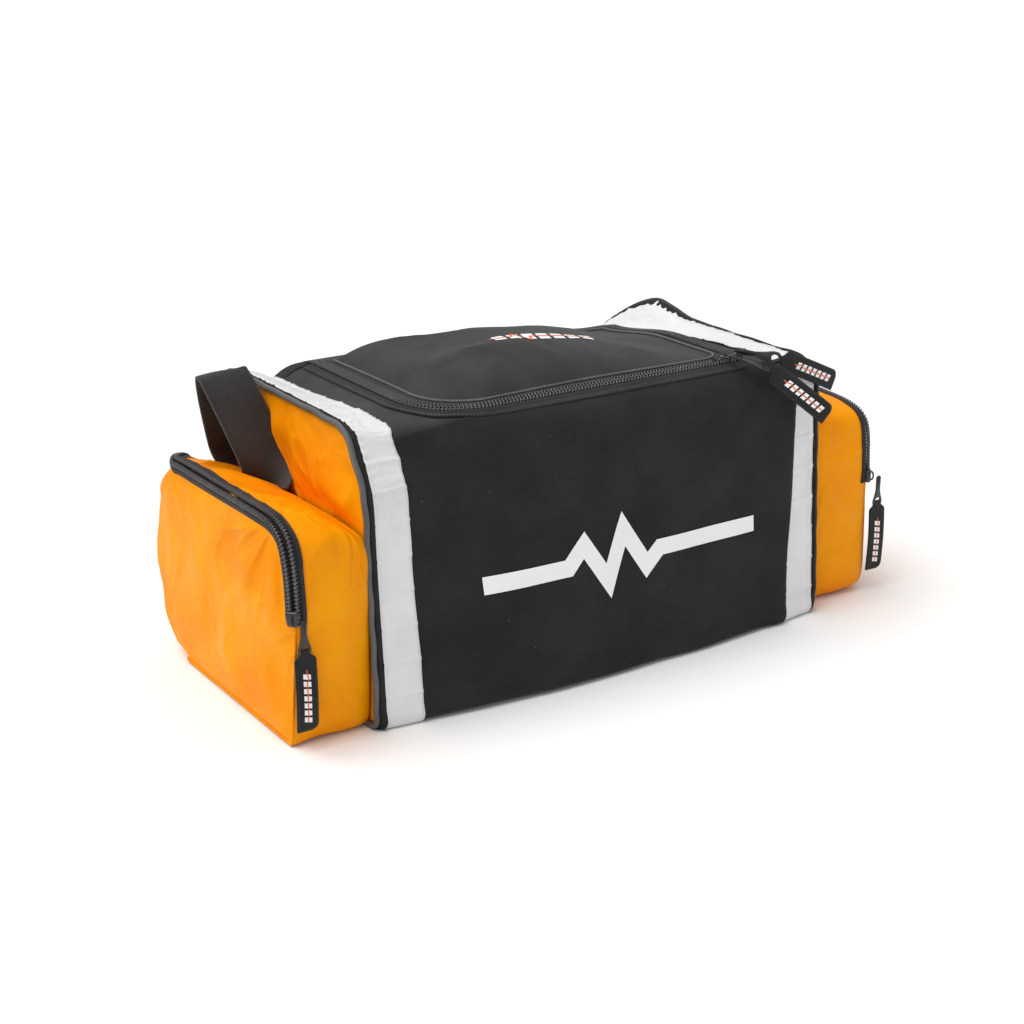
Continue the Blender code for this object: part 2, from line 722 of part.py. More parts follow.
def main():
    clear_scene()
    make_shell()
    make_lid_zip()
    make_lid()
    make_front_print()
    for side, sign, hang_x in (("left", -1, -0.3200), ("right", 1, 0.3400)):
        make_end(side, sign)
        make_pocket(side, sign)
        make_tab("pocket_tab_" + side, make_pocket_slider(side, sign, hang_x), (0, 0, -1), (0, -1, 0))
    make_lid_sliders()
    make_left_handle()
    make_right_handle()


main()
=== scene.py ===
"""Looks of a soft holdall for an emergency responder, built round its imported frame.

The bag is black twill with orange end panels and pockets, reflective bands, a domed lid on
a long zip, two zipped end pockets, pull tabs and webbing handles. Everything is in metres:
+X towards the right-hand pocket, -Y towards the printed front, +Z up.
"""

import logging
import math
from dataclasses import dataclass, field
from enum import Enum

import bpy
import numpy as np
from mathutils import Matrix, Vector


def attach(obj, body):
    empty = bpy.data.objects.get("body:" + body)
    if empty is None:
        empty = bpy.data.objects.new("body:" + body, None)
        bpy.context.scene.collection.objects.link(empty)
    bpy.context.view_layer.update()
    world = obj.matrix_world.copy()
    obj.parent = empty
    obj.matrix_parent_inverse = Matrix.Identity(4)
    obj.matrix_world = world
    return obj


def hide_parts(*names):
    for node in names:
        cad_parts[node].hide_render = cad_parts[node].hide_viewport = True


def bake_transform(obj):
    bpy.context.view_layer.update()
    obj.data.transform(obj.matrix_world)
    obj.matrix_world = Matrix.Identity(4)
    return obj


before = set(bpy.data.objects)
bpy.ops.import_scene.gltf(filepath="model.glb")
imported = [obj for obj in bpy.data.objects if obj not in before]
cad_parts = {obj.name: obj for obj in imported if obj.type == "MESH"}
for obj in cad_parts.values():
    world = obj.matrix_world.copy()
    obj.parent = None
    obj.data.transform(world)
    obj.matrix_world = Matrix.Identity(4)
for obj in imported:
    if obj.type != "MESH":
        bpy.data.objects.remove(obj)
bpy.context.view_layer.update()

LOG = logging.getLogger("holdall")
Array = np.ndarray
TAU = 2.0 * math.pi


# ------------------------------------------------------------------ shaping helpers


def ease(start: float, end: float, value: Array) -> Array:
    """Smooth step: 0 at start, 1 at end, level at both."""
    share = np.clip((np.asarray(value, float) - start) / (end - start), 0.0, 1.0)
    return share * share * (3.0 - 2.0 * share)


def hump(centre: float, width: float, value: Array) -> Array:
    """Bell curve: e to the minus square of the distance from centre over width."""
    return np.exp(-(((np.asarray(value, float) - centre) / width) ** 2))


def spline(value: Array, knots: list[float], heights: list[float]) -> Array:
    """Smooth curve through the knots, cubic between each two, level beyond the ends.

    Args:
        value: Where to read the curve.
        knots: Rising places along the curve.
        heights: The curve's height at each knot.

    Returns:
        The heights at value.
    """
    x, y = np.asarray(knots, float), np.asarray(heights, float)
    slope = np.gradient(y, x)
    value = np.clip(np.asarray(value, float), x[0], x[-1])
    i = np.clip(np.searchsorted(x, value) - 1, 0, len(x) - 2)
    gap = x[i + 1] - x[i]
    t = (value - x[i]) / gap
    rise = (2 * t**3 - 3 * t**2 + 1) * y[i] + (3 * t**2 - 2 * t**3) * y[i + 1]
    return rise + gap * ((t**3 - 2 * t**2 + t) * slope[i] + (t**3 - t**2) * slope[i + 1])


def closed_spline(corners: Array, count: int) -> Array:
    """A closed smooth curve through the corners, periodic cubic, evenly stepped by corner.

    Args:
        corners: Points to pass through, one row each.
        count: How many points to return.

    Returns:
        The points, one row each.
    """
    size = len(corners)
    at = np.arange(count) / count * size
    i = np.floor(at).astype(int)
    t = (at - i)[:, None]
    a, b, c, d = (corners[(i + step) % size] for step in (-1, 0, 1, 2))
    return 0.5 * (
        2 * b + (c - a) * t + (2 * a - 5 * b + 4 * c - d) * t**2 + (3 * b - 3 * c + d - a) * t**3
    )


def ripple(points: Array, size: float, seed: int, waves: int = 14) -> Array:
    """Soft random relief between about -1 and 1: a sum of plane waves in seeded directions.

    Args:
        points: Places to read it, last axis x, y, z.
        size: The usual length of a wave.
        seed: Chooses the directions and phases.
        waves: How many waves are added.

    Returns:
        One value for each point.
    """
    draw = np.random.default_rng(seed)
    way = draw.normal(size=(waves, 3))
    way /= np.linalg.norm(way, axis=1)[:, None]
    way *= TAU / (size * draw.uniform(0.7, 1.6, waves))[:, None]
    phase = draw.uniform(0.0, TAU, waves)
    return np.sin(points @ way.T + phase).sum(axis=-1) / math.sqrt(waves)


def creased(points: Array, size: float, seed: int) -> Array:
    """Relief with sharp ridges, as cloth folds: one minus the distance of a ripple from nought."""
    return 1.0 - np.minimum(1.0, 1.4 * np.abs(ripple(points, size, seed)))


def unit(vectors: Array) -> Array:
    """The same directions with length one."""
    return vectors / np.maximum(np.linalg.norm(vectors, axis=-1, keepdims=True), 1e-12)


def path_frames(path: Array, up: Array, closed: bool = False) -> tuple[Array, Array, Array]:
    """Directions along, across and above a path; across is up x along.

    Args:
        path: Points, one row each.
        up: Rough upward direction for each point, or one for all.
        closed: Whether the path joins its own start.

    Returns:
        Unit vectors along, across and above for each point.
    """
    if closed:
        along = unit(np.roll(path, -1, 0) - np.roll(path, 1, 0))
    else:
        along = unit(np.gradient(path, axis=0))
    across = unit(np.cross(np.broadcast_to(up, path.shape), along))
    return along, across, np.cross(along, across)


def run_length(path: Array) -> Array:
    """Distance from the start of a path to each of its points."""
    steps = np.linalg.norm(np.diff(path, axis=0), axis=1)
    return np.concatenate([[0.0], np.cumsum(steps)])


def resample(path: Array, count: int) -> Array:
    """The same path with evenly spaced points.

    Args:
        path: Points of the path.
        count: How many points to make.

    Returns:
        The new points.
    """
    place = run_length(path)
    even = np.linspace(0.0, place[-1], count)
    return np.stack([np.interp(even, place, path[:, axis]) for axis in range(path.shape[1])], 1)


# ------------------------------------------------------------------ meshes


@dataclass
class Sheetwork:
    """Points, faces and flat coordinates of a mesh while it is put together."""

    points: list[Array] = field(default_factory=list)
    faces: list[Array] = field(default_factory=list)
    flats: list[Array] = field(default_factory=list)
    total: int = 0

    def add(self, points: Array, faces: Array, flat: Array) -> None:
        """Adds a block of points with faces that count from its own first point.

        Args:
            points: Places, last axis x, y, z.
            faces: Rows of point numbers.
            flat: Cloth coordinates of the points.
        """
        self.points.append(points.reshape(-1, 3))
        self.faces.append(faces + self.total)
        self.flats.append(flat.reshape(-1, 2))
        self.total += len(self.points[-1])

    def grid(self, points: Array, flat: Array | None = None, wrap: bool = False,
             ring: bool = False, turn: bool = False) -> None:
        """Adds a rectangular net of points.

        Args:
            points: Rows by columns by 3.
            flat: Rows by columns by 2, the cloth's own coordinates in metres.
            wrap: Joins the last column to the first.
            ring: Joins the last row to the first.
            turn: Turns the faces over.
        """
        rows, columns = points.shape[:2]
        if flat is None:
            flat = flat_of(points)
        i = np.arange(rows if ring else rows - 1)[:, None]
        j = np.arange(columns if wrap else columns - 1)[None, :]
        i2, j2 = (i + 1) % rows, (j + 1) % columns
        here, there = i * columns, i2 * columns
        quads = np.stack([here + j, here + j2, there + j2, there + j], -1).reshape(-1, 4)
        self.add(points, quads[:, ::-1] if turn else quads, flat)

    def finish(self, name: str, look: bpy.types.Material, smooth: bool = True) -> bpy.types.Object:
        """Makes the object, at the origin, with its flat coordinates as a UV map.

        Args:
            name: The object's name.
            look: Its material.
            smooth: Whether its faces are shaded smooth.

        Returns:
            The object, in the scene.
        """
        mesh = bpy.data.meshes.new(name)
        faces = [face for block in self.faces for face in block.tolist()]
        mesh.from_pydata(np.concatenate(self.points).tolist(), [], faces)
        layer = mesh.uv_layers.new(name="Cloth")
        corners = np.zeros(len(mesh.loops), np.int32)
        mesh.loops.foreach_get("vertex_index", corners)
        layer.data.foreach_set("uv", np.concatenate(self.flats)[corners].astype(np.float32).ravel())
        if smooth:
            mesh.shade_smooth()
        mesh.materials.append(look)
        item = bpy.data.objects.new(name, mesh)
        bpy.context.scene.collection.objects.link(item)
        return item


def flat_of(points: Array) -> Array:
    """Cloth coordinates of a net: the mean length along its rows and down its columns.

    Args:
        points: The net, rows by columns.

    Returns:
        Two coordinates for each point.
    """
    across = np.linalg.norm(np.diff(points, axis=1), axis=2).mean(0)
    down = np.linalg.norm(np.diff(points, axis=0), axis=2).mean(1)
    u = np.concatenate([[0.0], np.cumsum(across)])
    v = np.concatenate([[0.0], np.cumsum(down)])
    return np.stack(np.broadcast_arrays(u[None, :], v[:, None]), -1)


def net(name: str, points: Array, look: bpy.types.Material, flat: Array | None = None,
        wrap: bool = False, turn: bool = False) -> bpy.types.Object:
    """One net of points made into an object.

    Args:
        name: The object's name.
        points: The net, rows by columns.
        look: Its material.
        flat: Cloth coordinates, or None to work them out.
        wrap: Whether its last column joins its first.
        turn: Whether its faces are turned round.

    Returns:
        The object, in the scene.
    """
    work = Sheetwork()
    work.grid(points, flat, wrap=wrap, turn=turn)
    return work.finish(name, look)


def thicken(item: bpy.types.Object, depth: float, levels: int = 0) -> bpy.types.Object:
    """Gives a sheet a thickness below its outer face, and rounds it if levels is above 0.

    Args:
        item: The sheet.
        depth: Its thickness in metres.
        levels: Levels of subdivision.

    Returns:
        The same sheet.
    """
    skin = item.modifiers.new("thickness", "SOLIDIFY")
    skin.thickness = depth
    skin.offset = -1.0
    if levels:
        soft = item.modifiers.new("softness", "SUBSURF")
        soft.levels = soft.render_levels = levels
    return item


def tube(work: Sheetwork, path: Array, radius: float | Array, sides: int = 8,
         closed: bool = False, up: Array | None = None, flatten: float = 1.0) -> None:
    """Adds a round cord along a path, its ends closed by shrinking to a point.

    Args:
        work: The mesh being put together.
        path: Points of the cord's middle.
        radius: The cord's radius, one number or one for each point.
        sides: Faces round the cord.
        closed: Whether the cord joins its own start.
        up: Rough upward direction.
        flatten: Height of the cord over its width.
    """
    up = np.array([0.0, 0.0, 1.0]) if up is None else up
    radius = np.broadcast_to(radius, len(path)).astype(float).copy()
    if not closed:
        path = np.concatenate([path[:1], path, path[-1:]])
        radius = np.concatenate([[1e-5], radius, [1e-5]])
        up = up if up.ndim == 1 else np.concatenate([up[:1], up, up[-1:]])
        along = np.gradient(path, axis=0)
        along[0], along[-1] = along[1], along[-2]
        along = unit(along)
        across = unit(np.cross(np.broadcast_to(up, path.shape), along))
        above = np.cross(along, across)
    else:
        along, across, above = path_frames(path, up, closed)
    angle = TAU * np.arange(sides) / sides
    ring = across[:, None] * np.cos(angle)[None, :, None] * radius[:, None, None]
    ring = ring + above[:, None] * np.sin(angle)[None, :, None] * radius[:, None, None] * flatten
    points = path[:, None] + ring
    place = np.concatenate([[0.0], np.cumsum(np.linalg.norm(np.diff(path, axis=0), axis=1))])
    girth = np.broadcast_to(angle[None] * radius.mean(), points.shape[:2])
    flat = np.stack([girth, np.broadcast_to(place[:, None], points.shape[:2])], -1)
    work.grid(points, flat, wrap=True, ring=closed)


def stitches(work: Sheetwork, path: Array, normal: Array, pitch: float = 0.0034,
             length: float = 0.0024, width: float = 0.00035) -> None:
    """Adds a row of sewing stitches: short flat diamonds of thread lying along a path.

    Each stitch has a nose, a shoulder on each side, a crest and a tail, so four faces.

    Args:
        work: The mesh being put together.
        path: The seam.
        normal: Outward direction at each point of the path.
        pitch: Distance from one stitch to the next.
        length: Length of one stitch.
        width: Half its width, and its height.
    """
    place = run_length(path)
    at = np.arange(pitch, place[-1] - pitch, pitch)
    if len(at) == 0:
        return

    def read(values: Array, where: Array) -> Array:
        """Values at places along the path."""
        return np.stack([np.interp(where, place, values[:, axis]) for axis in range(3)], 1)

    start, end = read(path, at - length / 2), read(path, at + length / 2)
    out = unit(read(normal, at))
    side = unit(np.cross(out, end - start)) * width
    middle = (start + end) / 2
    points = np.stack([start, middle + side, end, middle - side, middle + out * width * 1.6], 1)
    one = np.array([[0, 1, 4], [1, 2, 4], [2, 3, 4], [3, 0, 4]])
    faces = (np.arange(len(at))[:, None, None] * 5 + one[None]).reshape(-1, 3)
    work.add(points, faces, np.zeros((len(points) * 5, 2)))


# ------------------------------------------------------------------ finishes


class Slot(Enum):
    """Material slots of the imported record."""

    TWILL = "black_twill"
    NYLON = "orange_nylon"
    REFLECTIVE = "reflective_tape"
    PIPING = "piping_cord"
    BINDING = "binding_tape"
    TAPE = "zip_tape"
    COIL = "zip_coil"
    METAL = "zip_metal"
    TAB = "pull_tab"
    WEBBING = "webbing"
    PRINT = "printed_mark"
    BOARD = "base_board"


class Wiring:
    """Adds nodes to a node tree and joins them."""

    def __init__(self, tree: bpy.types.NodeTree) -> None:
        """Works on the given tree."""
        self.tree = tree

    def node(self, kind: str, **settings: object) -> bpy.types.Node:
        """A new node with its settings.

        Args:
            kind: The node's type.
            settings: Its settings by name.

        Returns:
            The node.
        """
        made = self.tree.nodes.new(kind)
        for name, value in settings.items():
            setattr(made, name, value)
        return made

    def join(self, source: bpy.types.NodeSocket, target: bpy.types.NodeSocket) -> None:
        """Links two sockets."""
        self.tree.links.new(source, target)

    def math(self, operation: str, *values: object) -> bpy.types.NodeSocket:
        """A Math node fed with sockets or numbers; returns its result.

        Args:
            operation: What it works out.
            values: Sockets or numbers, in order.

        Returns:
            The socket of its result.
        """
        made = self.node("ShaderNodeMath", operation=operation)
        for socket, value in zip(made.inputs, values):
            if isinstance(value, bpy.types.NodeSocket):
                self.join(value, socket)
            else:
                socket.default_value = value
        return made.outputs[0]


def open_group(name: str, inputs: dict[str, float], outputs: tuple[str, ...]) -> tuple:
    """A new shader node group with float sockets.

    Args:
        name: The group's name.
        inputs: Each input's name and usual value.
        outputs: Names of the outputs.

    Returns:
        The tree, its wiring, its input node and its output node.
    """
    tree = bpy.data.node_groups.new(name, "ShaderNodeTree")
    for label, value in inputs.items():
        made = tree.interface.new_socket(label, in_out="INPUT", socket_type="NodeSocketFloat")
        made.default_value = value
    for label in outputs:
        tree.interface.new_socket(label, in_out="OUTPUT", socket_type="NodeSocketFloat")
    wires = Wiring(tree)
    return tree, wires, wires.node("NodeGroupInput"), wires.node("NodeGroupOutput")


def weave_group() -> bpy.types.NodeTree:
    """Threads of a cloth: product of two sine waves, sheared by Slant into diagonal ribs.

    Slant 0 gives a plain weave; 1 gives the ribs of a twill.

    Returns:
        The group.
    """
    tree, wires, given, result = open_group(
        "weave", {"Pitch": 0.001, "Slant": 0.0}, ("Height",)
    )
    cloth = wires.node("ShaderNodeUVMap", uv_map="Cloth")
    parts = wires.node("ShaderNodeSeparateXYZ")
    wires.join(cloth.outputs[0], parts.inputs[0])
    turns = wires.math("DIVIDE", TAU, given.outputs["Pitch"])
    slant = given.outputs["Slant"]
    sheared = wires.math("MULTIPLY_ADD", parts.outputs["Y"], slant, parts.outputs["X"])
    rib = wires.math("SINE", wires.math("MULTIPLY", sheared, turns))
    thread = wires.math("SINE", wires.math("MULTIPLY", parts.outputs["Y"], turns))
    plain = wires.math("MULTIPLY", rib, thread)
    mixed = wires.node("ShaderNodeMix")
    wires.join(slant, mixed.inputs[0])
    wires.join(plain, mixed.inputs[2])
    wires.join(rib, mixed.inputs[3])
    wires.join(mixed.outputs[0], result.inputs["Height"])
    return tree


def mottle_group() -> bpy.types.NodeTree:
    """Soft patches between 0 and 1: layered noise on the object's own coordinates.

    Returns:
        The group.
    """
    tree, wires, given, result = open_group("mottle", {"Scale": 20.0, "Detail": 4.0}, ("Mask",))
    place = wires.node("ShaderNodeTexCoord")
    noise = wires.node("ShaderNodeTexNoise")
    wires.join(place.outputs["Object"], noise.inputs["Vector"])
    wires.join(given.outputs["Scale"], noise.inputs["Scale"])
    wires.join(given.outputs["Detail"], noise.inputs["Detail"])
    span = wires.node("ShaderNodeMapRange")
    span.inputs["From Min"].default_value = 0.34
    span.inputs["From Max"].default_value = 0.68
    wires.join(noise.outputs[0], span.inputs[0])
    wires.join(span.outputs[0], result.inputs["Mask"])
    return tree


def wrinkle_group() -> bpy.types.NodeTree:
    """Fine folds: one minus the distance of a warped noise from its middle, raised to a power.

    Returns:
        The group.
    """
    inputs = {"Scale": 14.0, "Stretch": 1.0}
    tree, wires, given, result = open_group("wrinkles", inputs, ("Height",))
    place = wires.node("ShaderNodeTexCoord")
    squeeze = wires.node("ShaderNodeCombineXYZ")
    parts = wires.node("ShaderNodeSeparateXYZ")
    wires.join(place.outputs["Object"], parts.inputs[0])
    wires.join(parts.outputs["X"], squeeze.inputs["X"])
    stretched = wires.math("MULTIPLY", parts.outputs["Y"], given.outputs["Stretch"])
    wires.join(stretched, squeeze.inputs["Y"])
    wires.join(parts.outputs["Z"], squeeze.inputs["Z"])
    noise = wires.node("ShaderNodeTexNoise")
    noise.inputs["Detail"].default_value = 2.5
    noise.inputs["Distortion"].default_value = 0.9
    wires.join(squeeze.outputs[0], noise.inputs["Vector"])
    wires.join(given.outputs["Scale"], noise.inputs["Scale"])
    away = wires.math("ABSOLUTE", wires.math("SUBTRACT", noise.outputs[0], 0.5))
    ridge = wires.math("SUBTRACT", 1.0, wires.math("MULTIPLY", away, 5.0))
    wires.join(wires.math("POWER", wires.math("MAXIMUM", ridge, 0.0), 1.6), result.inputs["Height"])
    return tree


def lint_group() -> bpy.types.NodeTree:
    """Stray specks of lint: 1 inside tiny dots round scattered points, 0 elsewhere.

    Returns:
        The group.
    """
    tree, wires, given, result = open_group("lint", {"Scale": 90.0, "Size": 0.05}, ("Mask",))
    place = wires.node("ShaderNodeTexCoord")
    cells = wires.node("ShaderNodeTexVoronoi")
    wires.join(place.outputs["Object"], cells.inputs["Vector"])
    wires.join(given.outputs["Scale"], cells.inputs["Scale"])
    dot = wires.math("LESS_THAN", cells.outputs["Distance"], given.outputs["Size"])
    wires.join(dot, result.inputs["Mask"])
    return tree


GROUPS: dict[str, bpy.types.NodeTree] = {}


def effect(wires: Wiring, name: str, **values: float) -> bpy.types.Node:
    """Places one of the shared effects in a material with its own values.

    Args:
        wires: The material's nodes.
        name: The effect's name.
        values: Its own values by input.

    Returns:
        The group's node in the material.
    """
    makers = {
        "weave": weave_group,
        "mottle": mottle_group,
        "wrinkles": wrinkle_group,
        "lint": lint_group,
    }
    if name not in GROUPS:
        GROUPS[name] = makers[name]()
    made = wires.node("ShaderNodeGroup")
    made.node_tree = GROUPS[name]
    for label, value in values.items():
        made.inputs[label].default_value = value
    return made


@dataclass(frozen=True)
class Finish:
    """One finish: its colours, gloss, weave, folds and lint."""

    name: str
    slot: Slot
    colour: tuple[float, float, float]
    shade: tuple[float, float, float]
    roughness: float = 0.8
    spread: float = 0.1
    sheen: float = 0.0
    specular: float = 0.4
    metallic: float = 0.0
    coat: float = 0.0
    pitch: float = 0.0
    slant: float = 0.0
    thread: float = 0.0
    fold: float = 0.0
    fold_scale: float = 14.0
    patch_scale: float = 22.0
    lint: float = 0.0

    def make(self) -> bpy.types.Material:
        """Builds the material.

        Returns:
            The material, with its colour, roughness and relief from nodes.
        """
        look = bpy.data.materials.new(self.name)
        look.use_nodes = True
        wires = Wiring(look.node_tree)
        shader = look.node_tree.nodes["Principled BSDF"]
        shader.inputs["Sheen Weight"].default_value = self.sheen
        shader.inputs["Sheen Roughness"].default_value = 0.45
        shader.inputs["Specular IOR Level"].default_value = self.specular
        shader.inputs["Metallic"].default_value = self.metallic
        shader.inputs["Coat Weight"].default_value = self.coat
        patches = effect(wires, "mottle", Scale=self.patch_scale)
        tint = self.mix(wires, patches.outputs[0], self.colour, self.shade)
        if self.lint:
            specks = effect(wires, "lint", Scale=self.lint, Size=0.021)
            tint = self.mix(wires, specks.outputs[0], tint, (0.30, 0.30, 0.30))
        wires.join(tint, shader.inputs["Base Color"])
        span = wires.node("ShaderNodeMapRange")
        span.inputs["To Min"].default_value = max(0.02, self.roughness - self.spread)
        span.inputs["To Max"].default_value = min(1.0, self.roughness + self.spread)
        wires.join(patches.outputs[0], span.inputs[0])
        wires.join(span.outputs[0], shader.inputs["Roughness"])
        self.relief(wires, shader)
        return look

    def mix(self, wires: Wiring, mask: bpy.types.NodeSocket, low: object,
            high: object) -> bpy.types.NodeSocket:
        """Mixes two colours, each a socket or three numbers, by a mask.

        Args:
            wires: The material's nodes.
            mask: 0 for the low colour and 1 for the high one.
            low: The colour where the mask is 0.
            high: The colour where the mask is 1.

        Returns:
            The socket of the mixed colour.
        """
        made = wires.node("ShaderNodeMix", data_type="RGBA")
        wires.join(mask, made.inputs[0])
        for socket, value in ((made.inputs[6], low), (made.inputs[7], high)):
            if isinstance(value, bpy.types.NodeSocket):
                wires.join(value, socket)
            else:
                socket.default_value = (*value, 1.0)
        return made.outputs[2]

    def relief(self, wires: Wiring, shader: bpy.types.Node) -> None:
        """Adds the folds and the threads as bumps, the larger first.

        Args:
            wires: The material's nodes.
            shader: The shader whose normal they bend.
        """
        last = None
        if self.fold:
            folds = effect(wires, "wrinkles", Scale=self.fold_scale)
            last = self.bump(wires, folds.outputs[0], self.fold, last)
        if self.thread:
            threads = effect(wires, "weave", Pitch=self.pitch, Slant=self.slant)
            last = self.bump(wires, threads.outputs[0], self.thread, last)
        if last is None:
            grain = effect(wires, "mottle", Scale=900.0, Detail=2.0)
            last = self.bump(wires, grain.outputs[0], 0.00005, last)
        wires.join(last, shader.inputs["Normal"])

    def bump(self, wires: Wiring, height: bpy.types.NodeSocket, depth: float,
             below: bpy.types.NodeSocket | None) -> bpy.types.NodeSocket:
        """One Bump node of the given depth in metres, on top of an earlier one.

        Args:
            wires: The material's nodes.
            height: The socket of the height.
            depth: Metres between heights 0 and 1.
            below: The normal of an earlier bump, or None.

        Returns:
            The socket of the bent normal.
        """
        made = wires.node("ShaderNodeBump")
        made.inputs["Strength"].default_value = 1.0
        made.inputs["Distance"].default_value = depth
        wires.join(height, made.inputs["Height"])
        if below is not None:
            wires.join(below, made.inputs["Normal"])
        return made.outputs[0]


class Palette:
    """Every finish of the bag, made once and looked up by name."""

    def __init__(self) -> None:
        """Makes the materials."""
        black, deep = (0.0180, 0.0180, 0.0180), (0.0130, 0.0130, 0.0130)
        plans = (
            Finish("twill", Slot.TWILL, black, deep, 0.86, 0.06, sheen=0.05, pitch=0.0021,
                   slant=1.0,
                   thread=0.00016, fold=0.0006, fold_scale=9.0, lint=60.0, specular=0.3),
            # Paler copy of the black twill for the top faces (top panel, lid, rear fold): its lighter
            # colour is painted light, the top lit from above.
            Finish("top_lit_twill", Slot.TWILL, (0.027, 0.027, 0.027), (0.019, 0.019, 0.019), 0.82,
                   0.06,
                   sheen=0.14, pitch=0.0026, slant=1.0, thread=0.00009, fold=0.0010, fold_scale=8.0,
                   lint=70.0, specular=0.4),
            Finish("nylon", Slot.NYLON, (0.96, 0.37, 0.000), (0.93, 0.275, 0.000), 0.50, 0.08,
                   pitch=0.0012, thread=0.00006, fold=0.0020, fold_scale=13.0, patch_scale=13.0,
                   specular=0.10),
            Finish("reflective", Slot.REFLECTIVE, (0.80, 0.80, 0.80), (0.73, 0.73, 0.735), 0.42,
                   0.10,
                   pitch=0.0011, thread=0.00003, fold=0.0006, fold_scale=26.0, specular=0.3),
            # Grey copy of the black piping cord for the left end and the lid seam, which face the
            # light: its paler colour is painted highlight. dark_piping below is the cord's own black,
            # worn at the right end.
            Finish("piping", Slot.PIPING, (0.120, 0.120, 0.122), (0.085, 0.085, 0.087), 0.38, 0.08,
                   pitch=0.0008, slant=1.0, thread=0.00008, specular=0.6),
            Finish("dark_piping", Slot.PIPING, (0.026, 0.026, 0.027), (0.018, 0.018, 0.018), 0.45,
                   0.08,
                   pitch=0.0008, slant=1.0, thread=0.00008, specular=0.5),
            Finish("binding", Slot.BINDING, (0.018, 0.018, 0.018), (0.012, 0.012, 0.012), 0.75,
                   0.08,
                   pitch=0.0009, thread=0.0001, specular=0.3),
            Finish("zip_tape", Slot.TAPE, (0.020, 0.020, 0.020), (0.013, 0.013, 0.013), 0.78, 0.08,
                   sheen=0.12, pitch=0.0010, thread=0.00012, specular=0.35),
            # The coil is grey, lighter than the black tape, so its teeth show as light lines: its own
            # dark plastic with painted highlight.
            Finish("zip_coil", Slot.COIL, (0.085, 0.085, 0.087), (0.060, 0.060, 0.062), 0.30, 0.06,
                   specular=0.8),
            Finish("zip_metal", Slot.METAL, (0.045, 0.045, 0.047), (0.028, 0.028, 0.029), 0.32,
                   0.08,
                   metallic=0.55, specular=0.6, coat=0.2),
            Finish("tab", Slot.TAB, (0.020, 0.020, 0.020), (0.013, 0.013, 0.013), 0.80, 0.06,
                   sheen=0.1,
                   pitch=0.0008, thread=0.00012, specular=0.3),
            Finish("webbing", Slot.WEBBING, (0.030, 0.030, 0.030), (0.020, 0.020, 0.020), 0.72,
                   0.08,
                   sheen=0.2, pitch=0.0022, slant=0.35, thread=0.00035, specular=0.4),
            Finish("white_print", Slot.PRINT, (0.93, 0.93, 0.93), (0.90, 0.90, 0.90), 0.55, 0.05,
                   pitch=0.0016, slant=1.0, thread=0.00004),
            Finish("orange_print", Slot.PRINT, (0.85, 0.13, 0.01), (0.78, 0.11, 0.01), 0.55, 0.05,
                   pitch=0.0016, slant=1.0, thread=0.00004),
            Finish("black_thread", Slot.TWILL, (0.012, 0.012, 0.012), (0.02, 0.02, 0.02), 0.7, 0.1),
            Finish("orange_thread", Slot.NYLON, (0.88, 0.25, 0.0), (0.80, 0.20, 0.0), 0.6, 0.1),
            Finish("white_thread", Slot.REFLECTIVE, (0.78, 0.78, 0.78), (0.65, 0.65, 0.66), 0.6,
                   0.1),
            Finish("board", Slot.BOARD, (0.16, 0.16, 0.165), (0.12, 0.12, 0.125), 0.6, 0.1,
                   patch_scale=40.0),
        )
        self.plans = {plan.name: plan for plan in plans}
        self.made = {plan.name: plan.make() for plan in plans}

    def __getitem__(self, name: str) -> bpy.types.Material:
        """The material of that name."""
        return self.made[name]

    def settle(self, item: bpy.types.Object, body: str, finish: str,
               *nodes: str) -> bpy.types.Object:
        """Rides a piece on its body and hides the CAD nodes it stands for.

        Args:
            item: The piece.
            body: The body that it rides on.
            finish: The finish that it wears; not used.
            nodes: CAD nodes that it stands for.

        Returns:
            The same piece.
        """
        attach(item, body)
        self.label(item, finish, *nodes)
        return item

    def label(self, item: bpy.types.Object, finish: str, *nodes: str) -> bpy.types.Object:
        """Hides the CAD nodes a piece stands for, and reports the piece.

        Args:
            item: The piece.
            finish: The finish that it wears; not used.
            nodes: CAD nodes that it stands for.

        Returns:
            The same piece.
        """
        if nodes:
            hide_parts(*nodes)
        LOG.info("%s: %d faces", item.name, len(item.data.polygons))
        return item


# ------------------------------------------------------------------ the body's shape


